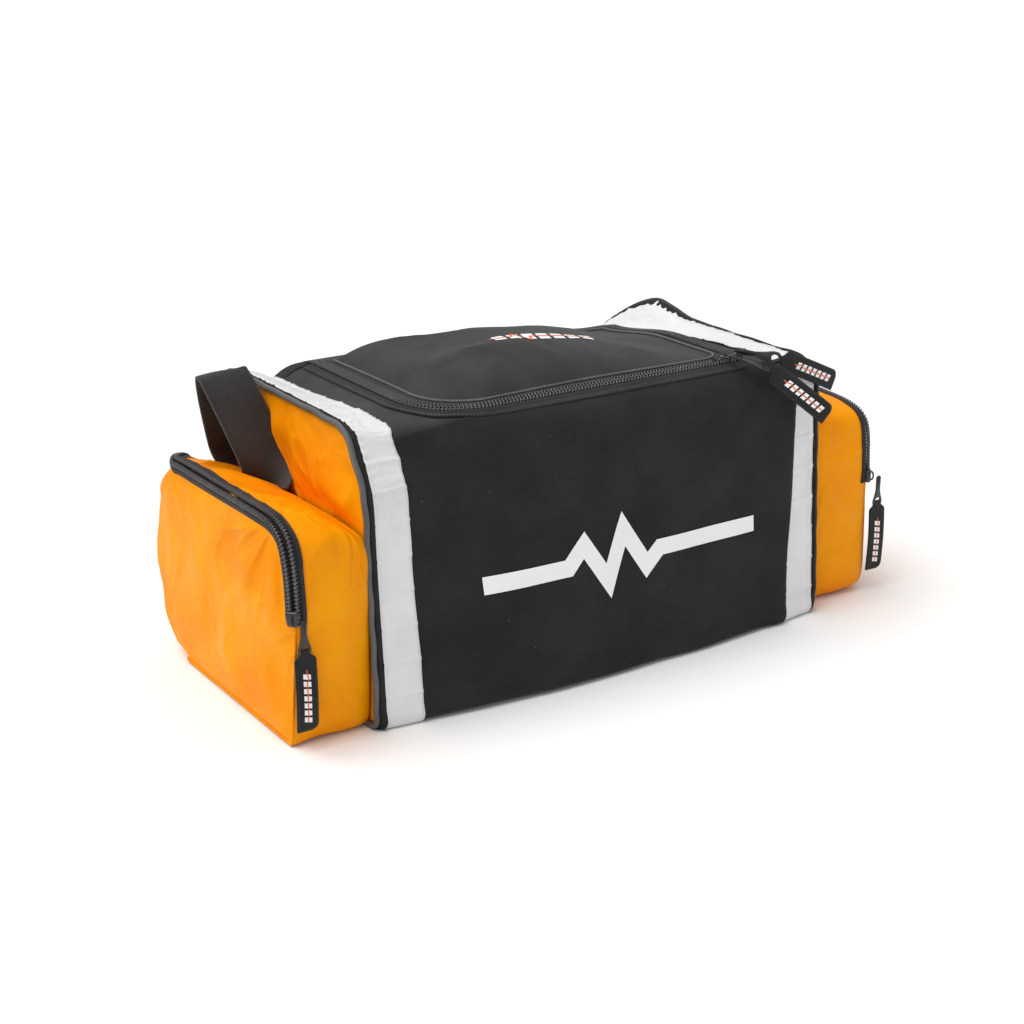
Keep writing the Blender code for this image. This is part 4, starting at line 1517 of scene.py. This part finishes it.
    def rear_fold(self) -> None:
        """The fold along the rear that the lid turns on: a low arch of cloth."""
        x = np.linspace(-0.1755, 0.1815, 90)[None, :]
        y = np.linspace(0.0840, 0.1180, 24)[:, None]
        lift = 0.0020 + 0.0022 * hump(0.101, 0.009, y) + 0.0 * x
        z = SECTION.top_z + lift - 0.0014 * ease(0.108, 0.118, y)
        x2, y2 = np.broadcast_arrays(x, y)
        points = slump(np.stack([x2, y2, z], -1))
        item = net("lid_rear_fold", points, self.palette["top_lit_twill"], np.stack([x2, y2], -1))
        thicken(item, 0.0016)
        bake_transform(item)
        self.palette.label(item, "top_lit_twill")


# ------------------------------------------------------------------ end pockets


@dataclass
class Pocket:
    """One zipped end pocket: gusset, outer face, seam cord, tapes and coils.

    Its skin is read by column, round the outline, and by w, the distance across the edge:
    below 0 on the gusset, above 0 on the outer face, with a rounded edge between them.
    """

    palette: Palette
    side: str
    sign: float
    near: list[tuple[float, float]]
    far: list[tuple[float, float]]
    near_x: float = 0.2508
    far_x: float = 0.3280
    round_edge: float = 0.008
    bulge: float = 0.004
    puff: float = 0.007
    flare: float = 0.0
    foot: float = 0.118
    columns: int = 560
    seed: int = 61

    def build(self) -> None:
        """Makes every piece of the pocket."""
        self.near_line = closed_spline(np.array(self.near), self.columns)
        self.far_line = closed_spline(np.array(self.far), self.columns)
        step = np.roll(self.far_line, -1, 0) - np.roll(self.far_line, 1, 0)
        self.out = unit(np.stack([-step[:, 1], step[:, 0]], 1))
        for _ in range(6):
            self.out = unit(self.out + np.roll(self.out, 1, 0) + np.roll(self.out, -1, 0))
        above = np.nonzero(self.far_line[:, 1] > self.foot)[0]
        self.arch = slice(int(above[0]), int(above[-1]) + 1)
        self.turned = self.sign > 0
        self.gusset()
        self.face()
        self.seam()
        self.zip_parts()

    def skin(self, w: Array, lift: Array | float = 0.0) -> Array:
        """Points of the pocket for each row of w, one column for each outline point.

        Args:
            w: Places across the rounded edge, 0 in its middle and negative towards the body.
            lift: How far outwards they are raised.

        Returns:
            The points.
        """
        behind = 0.024 * ease(0.080, 0.112, self.far_line[None, :, 0])
        w, lift = np.broadcast_arrays(w - behind * ease(-0.05, -0.02, w), lift)
        radius = self.round_edge
        angle = np.clip((w + radius * math.pi / 4) / radius, 0.0, math.pi / 2)
        back = np.maximum(0.0, -(w + radius * math.pi / 4))
        inward = np.maximum(0.0, w - radius * math.pi / 4)
        x = self.far_x - radius + radius * np.sin(angle) - back
        inset = radius * (1.0 - np.cos(angle)) + inward
        share = np.clip((x - self.near_x) / (self.far_x - self.near_x), 0.0, 1.0)[..., None]
        line = self.near_line[None] * (1.0 - share) + self.far_line[None] * share
        flat = np.concatenate([share * 0.07, line], -1)
        swell = self.bulge * np.sin(math.pi * share[..., 0]) * ease(0.0, 0.03, line[..., 1])
        swell = swell + 0.0022 * ripple(flat, 0.055, self.seed) * np.sin(math.pi * share[..., 0])
        crease = 0.0022 * creased(flat * np.array([0.5, 1.0, 1.0]), 0.05, self.seed + 1)
        swell = swell + crease * np.sin(math.pi * share[..., 0]) * ease(0.01, 0.05, line[..., 1])
        reach = swell - inset + np.cos(angle) * lift
        place = line + self.out[None] * reach[..., None]
        x = x + np.sin(angle) * lift + share[..., 0] * self.flare * ease(0.19, 0.02, line[..., 1])
        points = np.concatenate([(self.sign * x)[..., None], place], -1)
        points[..., 2] = np.maximum(points[..., 2], 0.0006)
        return points

    def edge_w(self, at_arch: float) -> Array:
        """Where the cloth ends across the edge: at the zip in the arch, at the seam elsewhere.

        Args:
            at_arch: Where the cloth ends in the arch.

        Returns:
            One value for each outline point.
        """
        column = np.arange(self.columns)
        inside = ease(0, 10, column - self.arch.start) * ease(0, 10, self.arch.stop - column)
        return at_arch * inside

    def gusset(self) -> None:
        """The gusset: rows of w from the body to the zip or the seam."""
        start = -(self.far_x - self.round_edge - self.near_x) - self.round_edge * math.pi / 4
        share = np.linspace(0.0, 1.0, 40)[:, None]
        w = start + (self.edge_w(-0.0080)[None] - start) * share
        points = self.skin(w)
        girth = run_length(self.far_line)
        flat = np.stack(np.broadcast_arrays(girth[None], w), -1)
        item = net("pocket_gusset_cloth_" + self.side, points, self.palette["nylon"], flat, wrap=True,
                   turn=self.turned)
        thicken(item, 0.0009)
        self.palette.settle(item, "bag", "nylon", "pocket_gusset_" + self.side)

    def face(self) -> None:
        """The outer face: rings from its edge to its middle, puffed, with folds fanning out
        from the front upper corner of the zip."""
        w = self.edge_w(0.0080)[None]
        edge = self.skin(w)[0]
        middle = np.array([self.sign * self.far_x, -0.004, 0.100])
        share = np.linspace(1.0, 0.0, 100)[:, None]
        points = middle + (edge[None] - middle) * share[..., None]
        y, z = points[..., 1], points[..., 2]
        dome = self.puff * (1.0 - share**2) * ease(0.0, 0.06, z)
        corner = np.array([-0.120, 0.205])
        away = np.hypot(y - corner[0], z - corner[1])
        bearing = np.arctan2(z - corner[1], y - corner[0])
        fan = np.stack([bearing * 0.11, away * 0.22, 0 * away], -1)
        folds = 0.0034 * creased(fan, 0.05, self.seed + 3) * hump(0.055, 0.050, away)
        soft = 0.0022 * ripple(points, 0.08, self.seed + 4)
        soft = soft + 0.0014 * creased(points, 0.10, self.seed + 5)
        inner = ease(1.0, 0.88, share)
        depth = edge[None, :, 0] * self.sign
        far = self.far_x + self.flare * ease(0.19, 0.02, z)
        x = depth + (far - depth) * ease(1.0, 0.90, share) + dome + (folds + soft) * inner
        points[..., 0] = self.sign * x
        item = net("pocket_face_cloth_" + self.side, points, self.palette["nylon"],
                   np.stack([y, z], -1), wrap=True, turn=self.turned)
        thicken(item, 0.0009)
        self.bend(item)
        self.palette.label(item, "nylon", "pocket_face_" + self.side, "pocket_flap_" + self.side)

    def bend(self, item: bpy.types.Object) -> None:
        """Bakes a piece's placement into its mesh, without bending it."""
        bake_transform(item)

    def seam(self) -> None:
        """The turned seam below the zip: a thin orange cord and a row of stitches."""
        columns = np.r_[self.arch.stop - 6 : self.columns, 0 : self.arch.start + 6]
        path = self.skin(np.zeros((1, 1)), 0.0002)[0][columns]
        path[:, 2] = np.maximum(path[:, 2], 0.0014)
        work = Sheetwork()
        tube(work, path, 0.0013, sides=8, up=np.array([self.sign, 0.0, 0.0]))
        item = work.finish("pocket_seam_cord_" + self.side, self.palette["nylon"])
        self.palette.settle(item, "bag", "nylon")
        work = Sheetwork()
        rows = ((-0.0118, 0.0004, 0.0014, self.arch), (-0.0045, 0.0003, 0.0013, columns))
        for w, low, high, run in rows:
            row = np.full((1, 1), w)
            path = self.skin(row, low)[0][run]
            stitches(work, path, self.skin(row, high)[0][run] - path)
        item = work.finish("pocket_stitches_" + self.side, self.palette["orange_thread"])
        self.palette.settle(item, "bag", "orange_thread")

    def zip_parts(self) -> None:
        """Both tapes and both halves of the coil, over the rounded edge of the arch."""
        offsets = np.array([0.0006, 0.0040, 0.0054, 0.0064, 0.0078, 0.0090, 0.0104, 0.0108])
        lifts = np.array([0.0006, 0.0008, 0.0011, 0.0022, 0.0020, 0.0012, 0.0012, 0.0004])
        halves = ((-1.0, "outer", "pocket_zip_", False), (1.0, "inner", "flap_zip_", True))
        for way, name, node, bent in halves:
            points = self.skin(way * offsets[:, None], lifts[:, None])[:, self.arch]
            item = net(f"pocket_zip_tape_{name}_{self.side}", points, self.palette["zip_tape"],
                       turn=(way > 0) == self.turned)
            thicken(item, 0.0005)
            self.attach(item, bent, "zip_tape", node + "tape_" + self.side)
            line = self.skin(np.full((1, 1), way * 0.0026), 0.0026)[0][self.arch]
            above = unit(self.skin(np.full((1, 1), way * 0.0026), 0.0036)[0][self.arch] - line)
            across = unit(np.cross(above, np.gradient(line, axis=0)))
            wire = coil_path(line, across, above, 0.0034, 0.0021, 0.0018)
            work = Sheetwork()
            tube(work, wire, 0.00064, sides=5)
            tube(work, line, 0.0011, sides=6)
            item = work.finish(f"pocket_zip_coil_{name}_{self.side}", self.palette["zip_coil"])
            self.attach(item, bent, "zip_coil", node + "coil_" + self.side)

    def attach(self, item: bpy.types.Object, bent: bool, finish: str, node: str) -> None:
        """Bakes a flap's zip part in place, or rides a pocket's zip part on the bag."""
        if bent:
            self.bend(item)
            self.palette.label(item, finish, node)
        else:
            self.palette.settle(item, "bag", finish, node)


# ------------------------------------------------------------------ sliders and pulls


def place_in(points: Array, place: Array, along: Array, up: Array) -> Array:
    """Carries points from a piece's own axes to the bag: x along, z near up, y across.

    Args:
        points: Places on the piece's own axes.
        place: Where its origin goes.
        along: Where its x axis points.
        up: Roughly where its z axis points.

    Returns:
        The points on the bag.
    """
    x = unit(np.asarray(along, float))
    y = unit(np.cross(np.asarray(up, float), x))
    z = np.cross(x, y)
    return np.asarray(place, float) + points @ np.stack([x, y, z])


@dataclass
class ZipPull:
    """A slider with its bail, a puller with an eyelet, and a printed fabric tab."""

    palette: Palette
    where: str
    place: tuple[float, float, float]
    along: tuple[float, float, float]
    up: tuple[float, float, float]
    pivot: tuple[float, float, float]
    pull_way: tuple[float, float, float]
    pull_face: tuple[float, float, float]
    tab_way: tuple[float, float, float]
    tab_face: tuple[float, float, float]
    length: float
    tab_gap: float
    slider_body: str
    pull_body: str
    tab_length: float = 0.066
    tab_half: float = 0.010

    def build(self) -> None:
        """Makes the slider, the puller and the tab."""
        self.slider()
        self.puller()
        self.tab()

    def slider(self) -> None:
        """The slider: rounded oblong sections along its length, wider at its nose, and a bail."""
        share = np.linspace(-1.0, 1.0, 22)[:, None]
        angle = TAU * np.arange(28)[None, :] / 28
        cosine, sine = np.cos(angle), np.sin(angle)
        round_off = np.clip(1.0 - np.abs(share) ** 7, 0.0, 1.0) ** 0.5
        half_width = (0.0060 + 0.0008 * share - 0.0007 * hump(-0.35, 0.35, share)) * round_off
        half_height = 0.0031 * (0.35 + 0.65 * round_off)
        y = half_width * np.sign(cosine) * np.abs(cosine) ** 0.55
        z = 0.0042 + half_height * np.sign(sine) * np.abs(sine) ** 0.55 * round_off
        x = 0.0072 * share + 0.0 * y
        work = Sheetwork()
        shell = place_in(np.stack([x, y, z], -1), self.place, self.along, self.up)
        work.grid(shell, wrap=True, turn=True)
        bend = np.linspace(0.0, math.pi, 18)
        arch = np.stack([0.0046 * np.cos(bend), 0.0 * bend, 0.0066 + 0.0030 * np.sin(bend)], 1)
        tube(work, place_in(arch, self.place, self.along, self.up), 0.0009, sides=8,
             up=np.cross(self.up, self.along))
        item = work.finish(self.where + "_slider_body", self.palette["zip_metal"])
        self.palette.settle(item, self.slider_body, "zip_metal", self.slider_body)

    def puller(self) -> None:
        """The puller: a plate ringed between its eyelet and its bow-shaped outline."""
        long, head = self.length, 0.0060
        along = np.linspace(0.0, 1.0, 40)
        half = spline(along, [0.0, 0.10, 0.32, 0.62, 0.84, 0.95, 1.0],
                      [0.0012, 0.0028, 0.0024, 0.0044, 0.0062, 0.0046, 0.0012])
        top = np.stack([0.0008 + (long - 0.0008) * along, half], 1)
        outline = np.concatenate([top, top[::-1] * np.array([1.0, -1.0])])
        turn = np.concatenate([math.pi * (1 - along), -math.pi * along])
        hole = np.stack([long - head - 0.0008 + 0.0034 * np.cos(turn), 0.0034 * np.sin(turn)], 1)
        middle = np.array([long - head - 0.0008, 0.0])
        thick = 0.0008
        eyelet = hole + 0.0005 * unit(hole - middle)
        bevel = outline * np.array([1.0, 0.86])
        rows = ((hole, -thick), (hole, thick), (eyelet, thick * 1.25), (bevel, thick),
                (outline, thick * 0.4), (outline, -thick * 0.4), (bevel, -thick),
                (eyelet, -thick * 1.25))
        points = np.stack([np.concatenate([line, np.full((len(line), 1), z)], 1)
                           for line, z in rows])
        work = Sheetwork()
        plate = place_in(points, self.pivot, self.pull_way, self.pull_face)
        work.grid(plate, wrap=True, ring=True, turn=True)
        bend = np.linspace(0.0, TAU, 24, endpoint=False)
        loop = np.stack([0.0026 + 0.0024 * np.cos(bend), 0.0024 * np.sin(bend), 0.0 * bend], 1)
        loop = place_in(loop, self.pivot, self.pull_way, self.pull_face)
        tube(work, loop, 0.0008, sides=8, closed=True, up=np.asarray(self.pull_face, float))
        item = work.finish(self.where + "_puller_plate", self.palette["zip_metal"])
        self.palette.settle(item, self.pull_body, "zip_metal", self.node("puller"))

    def node(self, part: str) -> str:
        """The CAD node of a part of this pull."""
        family, end = self.pull_body.split("_pull_")
        return f"{family}_{part}_{end}"

    def tab(self) -> None:
        """The tab: a ribbon from the eyelet that widens to a printed, stitched rectangle with
        one round corner; slightly curved along its length."""
        end = np.asarray(self.pivot) + unit(np.asarray(self.pull_way)) * self.length
        start = end + unit(np.asarray(self.tab_way)) * self.tab_gap
        neck, corner = 0.0085, 0.006
        widening = np.linspace(-neck, 0.004, 10)
        straight = np.linspace(0.006, self.tab_length, 34)
        x = np.concatenate([widening, straight])[None, :]
        share = np.linspace(-1.0, 1.0, 13)[:, None]
        wide = 0.0030 + (self.tab_half - 0.0030) * ease(-neck * 0.75, 0.0016, x)
        over = np.maximum(0.0, x - (self.tab_length - corner))
        cut = corner - np.sqrt(np.maximum(corner**2 - over**2, 0.0))
        low, high = -wide, wide - cut
        y = low + (high - low) * (share + 1.0) / 2.0

        def top(x: Array, y: Array, lift: float) -> Array:
            """Points on the ribbon's upper face, arched a little along it and across it.

            Args:
                x: Places along the tab.
                y: Places across it.
                lift: How far the points are raised.

            Returns:
                The points on the bag.
            """
            z = 0.0010 + lift + 0.0014 * np.sin(math.pi * np.clip(x / self.tab_length, 0.0, 1.0))
            z = z + 0.0005 * np.cos(TAU * y / 0.05) + 0.0 * x * y
            points = np.stack(np.broadcast_arrays(x, y, z), -1)
            return place_in(points, start, self.tab_way, self.tab_face)

        work = Sheetwork()
        work.grid(top(x + 0.0 * y, y, 0.0), np.stack([x + 0.0 * y, y], -1))
        item = work.finish(self.where + "_tab_ribbon", self.palette["tab"])
        thicken(item, 0.0020)
        self.palette.settle(item, self.pull_body, "tab", self.node("tab"))
        print_work, line_work, sewn = Sheetwork(), Sheetwork(), Sheetwork()
        for bar in range(7):
            u = 0.0135 + bar * 0.0066 + np.linspace(0.0, 0.0046, 5)[None, :]
            v = np.linspace(-0.0035, 0.0035, 5)[:, None]
            print_work.grid(top(u + 0.25 * v, v + 0.0 * u, 0.00025))
        u, v = np.linspace(0.0095, 0.0580, 30)[None, :], np.linspace(-0.0005, 0.0005, 2)[:, None]
        beat = 0.0016 * np.sin(u / 0.0022) * hump(0.018, 0.004, u)
        line_work.grid(top(u + 0.0 * v, v + beat, 0.0005))
        inset = 0.0014
        tip, side = self.tab_length - inset, self.tab_half - inset
        border = np.array([[0.003, -side], [tip, -side], [tip, self.tab_half - 0.005],
                           [self.tab_length - 0.005, side], [0.003, side]])
        path = resample(border, 150)
        sewn_path = top(path[:, 0], path[:, 1], 0.0001)
        raised = top(path[:, 0], path[:, 1], 0.001)
        stitches(sewn, sewn_path, raised - sewn_path, 0.0028, 0.0019, 0.00022)
        for part, name, finish in ((print_work, "_tab_bars", "white_print"),
                                   (line_work, "_tab_trace", "orange_print"),
                                   (sewn, "_tab_stitches", "zip_coil")):
            item = part.finish(self.where + name, self.palette[finish])
            self.palette.settle(item, self.pull_body, finish)


# ------------------------------------------------------------------ handles


@dataclass
class Handles:
    """The standing left handle and the folded right one, of 48 mm webbing."""

    palette: Palette
    half: float = 0.024
    thick: float = 0.0025

    def build(self) -> None:
        """Makes both handles."""
        self.left()
        self.right()

    def left(self) -> None:
        """The left loop: a peaked arch along Y whose width soon turns from Y to X."""
        angle = np.linspace(0.0, math.pi, 110)
        rise = 1.0 - np.abs(np.cos(angle)) ** 1.45
        path = np.stack([-0.2555 - 0.0305 * rise, 0.020 + 0.080 * (1 - np.cos(angle)) / 2,
                         0.179 + 0.102 * rise], 1)
        twist = 0.5 * math.pi * (ease(0.0, 0.72, angle) + ease(math.pi - 0.72, math.pi, angle))
        wide = np.stack([-np.sin(twist), np.cos(twist), 0 * angle], 1)
        along = unit(np.gradient(path, axis=0))
        wide = unit(wide - along * (along * wide).sum(1, keepdims=True))
        normal = np.cross(along, wide)
        share = np.linspace(-1.0, 1.0, 17)[:, None, None]
        cup = 0.0016 * (1.0 - share**2)
        points = path[None] + wide[None] * share * self.half + normal[None] * cup
        flat = np.stack(np.broadcast_arrays(run_length(path)[None], share[..., 0] * self.half), -1)
        item = net("handle_webbing_left", points, self.palette["webbing"], flat)
        thicken(item, self.thick)
        item.modifiers["thickness"].offset = 0.0
        self.palette.settle(item, "handle_left", "webbing", "grab_handle_left")
        self.edges("left", "handle_left", points, normal)

    def edges(self, side: str, body: str, points: Array, normal: Array) -> None:
        """Two rows of stitches near the webbing's edges.

        Args:
            side: The side's name.
            body: The body that the stitches ride on.
            points: The webbing's net, its long edges first and last.
            normal: Outward directions along it.
        """
        work = Sheetwork()
        for row in (1, len(points) - 2):
            path = points[row] + normal * 0.0014
            stitches(work, path, normal)
        item = work.finish("handle_stitches_" + side, self.palette["black_thread"])
        self.palette.settle(item, body, "black_thread")

    def right(self) -> None:
        """The right loop lying on its pocket: a U between an inner and an outer outline."""
        lean = math.radians(22.0)
        way = np.array([math.cos(lean), 0.0, math.sin(lean)])
        normal = np.array([-way[2], 0.0, way[0]])
        root = np.array([0.2555, 0.060, 0.180])

        def outline(wide: float, out: float, corner: float) -> Array:
            """One outline of the folded loop, from its sewn edge out and back, with cut corners.

            Args:
                wide: Half its width.
                out: How far it reaches.
                corner: The size of its corners.

            Returns:
                The outline's points.
            """
            clip = corner * 0.3
            flat = np.array([[-wide, 0.0], [-wide, out - corner], [-wide + clip, out - clip],
                             [-wide + corner, out], [wide - corner, out],
                             [wide - clip, out - clip], [wide, out - corner], [wide, 0.0]])
            return resample(flat, 150)

        outer, inner = outline(0.064, 0.066, 0.012), outline(0.016, 0.036, 0.003)
        share = np.linspace(0.0, 1.0, 17)[:, None, None]
        plan = outer[None] + (inner - outer)[None] * share
        lift = 0.0014 + 0.0050 * np.sin(math.pi * np.clip(plan[..., 1:] / 0.070, 0.0, 1.0))
        lift = lift - 0.0010 * (2 * share - 1) ** 2
        points = root + plan[..., 1:] * way + plan[..., :1] * np.array([0.0, 1.0, 0.0])
        points = points + lift * normal
        flat = np.stack(np.broadcast_arrays(run_length(outer)[None], share[..., 0] * 0.048), -1)
        item = net("handle_webbing_right", points, self.palette["webbing"], flat, turn=True)
        thicken(item, self.thick)
        item.modifiers["thickness"].offset = 0.0
        self.palette.settle(item, "handle_right", "webbing", "grab_handle_right")
        self.edges("right", "handle_right", points, np.broadcast_to(normal, outer.shape[:1] + (3,)))


# ------------------------------------------------------------------ stage


class Studio:
    """A pale floor, soft daylight from the upper left and the camera."""

    def build(self) -> None:
        """Makes the floor, the lights and the camera."""
        self.floor()
        self.lights()
        self.camera()

    def floor(self) -> None:
        """One wide pale floor just under the bag."""
        work = Sheetwork()
        side = np.linspace(-30.0, 30.0, 3)
        x, y = np.meshgrid(side, side)
        work.grid(np.stack([x, y, np.full_like(x, -0.0003)], -1))
        look = bpy.data.materials.new("floor")
        look.use_nodes = True
        shader = look.node_tree.nodes["Principled BSDF"]
        shader.inputs["Base Color"].default_value = (0.93, 0.93, 0.93, 1.0)
        shader.inputs["Roughness"].default_value = 0.9
        shader.inputs["Specular IOR Level"].default_value = 0.1
        work.finish("floor", look, smooth=False)

    def lights(self) -> None:
        """An even sky and a soft sun."""
        world = bpy.data.worlds.new("sky")
        bpy.context.scene.world = world
        world.use_nodes = True
        sky = world.node_tree.nodes["Background"]
        sky.inputs["Color"].default_value = (1.0, 1.0, 1.0, 1.0)
        sky.inputs["Strength"].default_value = 0.55
        sun = bpy.data.lights.new("sun", "SUN")
        sun.energy, sun.angle = 2.3, math.radians(50)
        item = bpy.data.objects.new("sun", sun)
        item.rotation_mode = "QUATERNION"
        item.rotation_quaternion = Vector((0.42, -0.10, -1.0)).to_track_quat("-Z", "Y")
        bpy.context.scene.collection.objects.link(item)

    def camera(self) -> None:
        """A long lens a little above the bag, to the left of its front."""
        lens = bpy.data.cameras.new("camera")
        lens.lens, lens.sensor_width, lens.clip_end = 65.70, 36.0, 100.0
        item = bpy.data.objects.new("camera", lens)
        item.location = (-0.9606, -1.4309, 0.7280)
        turn, fall = math.radians(33.479), math.radians(19.708)
        level = math.cos(fall)
        look = Vector((math.sin(turn) * level, math.cos(turn) * level, -math.sin(fall)))
        item.rotation_mode = "QUATERNION"
        item.rotation_quaternion = look.to_track_quat("-Z", "Y")
        bpy.context.scene.collection.objects.link(item)
        bpy.context.scene.camera = item
        bpy.context.scene.view_settings.view_transform = "Standard"


LEFT_NEAR = [(0.0, 0.0006), (-0.085, 0.0006), (-0.118, 0.0008), (-0.131, 0.010), (-0.135, 0.055),
             (-0.137, 0.100), (-0.138, 0.140), (-0.137, 0.165), (-0.132, 0.174), (-0.118, 0.177),
             (-0.082, 0.179), (-0.020, 0.178), (0.033, 0.178), (0.077, 0.177), (0.105, 0.173),
             (0.122, 0.160), (0.131, 0.139), (0.133, 0.100), (0.131, 0.051), (0.124, 0.012),
             (0.112, 0.002), (0.060, 0.0006)]
LEFT_FAR = [(0.0, 0.0006), (-0.080, 0.0006), (-0.120, 0.0006), (-0.133, 0.006), (-0.140, 0.055),
            (-0.147, 0.105), (-0.147, 0.150), (-0.141, 0.180), (-0.131, 0.196), (-0.112, 0.204),
            (-0.080, 0.205), (-0.020, 0.204), (0.033, 0.203), (0.077, 0.202), (0.105, 0.193),
            (0.122, 0.172), (0.133, 0.139), (0.134, 0.100), (0.129, 0.051), (0.118, 0.012),
            (0.106, 0.002), (0.060, 0.0006)]
RIGHT_NEAR = [(0.0, 0.0006), (-0.085, 0.0006), (-0.118, 0.0008), (-0.130, 0.010), (-0.132, 0.055),
              (-0.133, 0.100), (-0.133, 0.150), (-0.132, 0.182), (-0.127, 0.194), (-0.112, 0.199),
              (-0.082, 0.197), (-0.020, 0.182), (0.033, 0.180), (0.077, 0.178), (0.105, 0.173),
              (0.122, 0.160), (0.131, 0.139), (0.133, 0.100), (0.131, 0.051), (0.124, 0.012),
              (0.112, 0.002), (0.060, 0.0006)]
RIGHT_FAR = [(0.0, 0.0015), (-0.080, 0.0015), (-0.117, 0.002), (-0.131, 0.012), (-0.133, 0.055),
             (-0.133, 0.105), (-0.133, 0.150), (-0.131, 0.172), (-0.124, 0.186), (-0.108, 0.193),
             (-0.080, 0.196), (-0.020, 0.199), (0.033, 0.199), (0.077, 0.198), (0.105, 0.191),
             (0.122, 0.172), (0.132, 0.139), (0.134, 0.100), (0.129, 0.051), (0.119, 0.012),
             (0.108, 0.002), (0.060, 0.0015)]


def build_pulls(palette: Palette) -> None:
    """Places the two lid pulls and the two pocket pulls.

    Args:
        palette: The bag's finishes.
    """
    ZipPull(palette, "upper", (0.1685, -0.108, 0.2623), (1, 0, 0), (0, 0, 1),
            (0.1685, -0.110, 0.2732), (0.70, -0.69, -0.14), (-0.70, -0.71, 0.0),
            (0.905, -0.05, -0.42), (0.0, -1.0, 0.05), 0.044, 0.0052,
            "lid_slider_upper", "lid_pull_upper").build()
    ZipPull(palette, "lower", (0.1525, -0.108, 0.2623), (1, 0, 0), (0, 0, 1),
            (0.1525, -0.1165, 0.2732), (0.66, -0.61, -0.30), (0.25, -0.20, 0.92),
            (0.66, -0.42, -0.62), (-0.34, -0.8, 0.18), 0.044, 0.0052,
            "lid_slider_lower", "lid_pull_lower").build()
    pockets = (("left", -1.0, -0.3200, -0.145), ("right", 1.0, 0.3400, -0.133))
    for side, sign, hang_x, front in pockets:
        ZipPull(palette, "pocket_" + side, (sign * 0.3250, front + 0.0010, 0.1255), (0, 0, 1),
                (sign * 0.72, -0.70, 0.0), (hang_x, front - 0.0052, 0.1235), (0, 0, -1), (0, -1, 0),
                (0, 0, -1), (0, -1, 0), 0.033, 0.0012,
                "pocket_slider_" + side, "pocket_pull_" + side).build()


def main() -> None:
    """Builds the bag from its body outwards, then the stage."""
    logging.basicConfig(level=logging.INFO, format="%(message)s")
    palette = Palette()
    Studio().build()
    Shell(palette).build()
    EndTrim(palette, "left", -1.0).build()
    EndTrim(palette, "right", 1.0, band_far=0.2445, pipe_radius=0.0018, binding_half=0.0016,
            cord="dark_piping", rear_swell=2.8).build()
    Pocket(palette, "left", -1.0, LEFT_NEAR, LEFT_FAR).build()
    Pocket(palette, "right", 1.0, RIGHT_NEAR, RIGHT_FAR, bulge=0.003, round_edge=0.012,
           far_x=0.3300, flare=0.005, seed=81).build()
    LidZip(palette).build()
    Lid(palette).build()
    build_pulls(palette)
    Handles(palette).build()


if __name__ == "__main__":
    main()
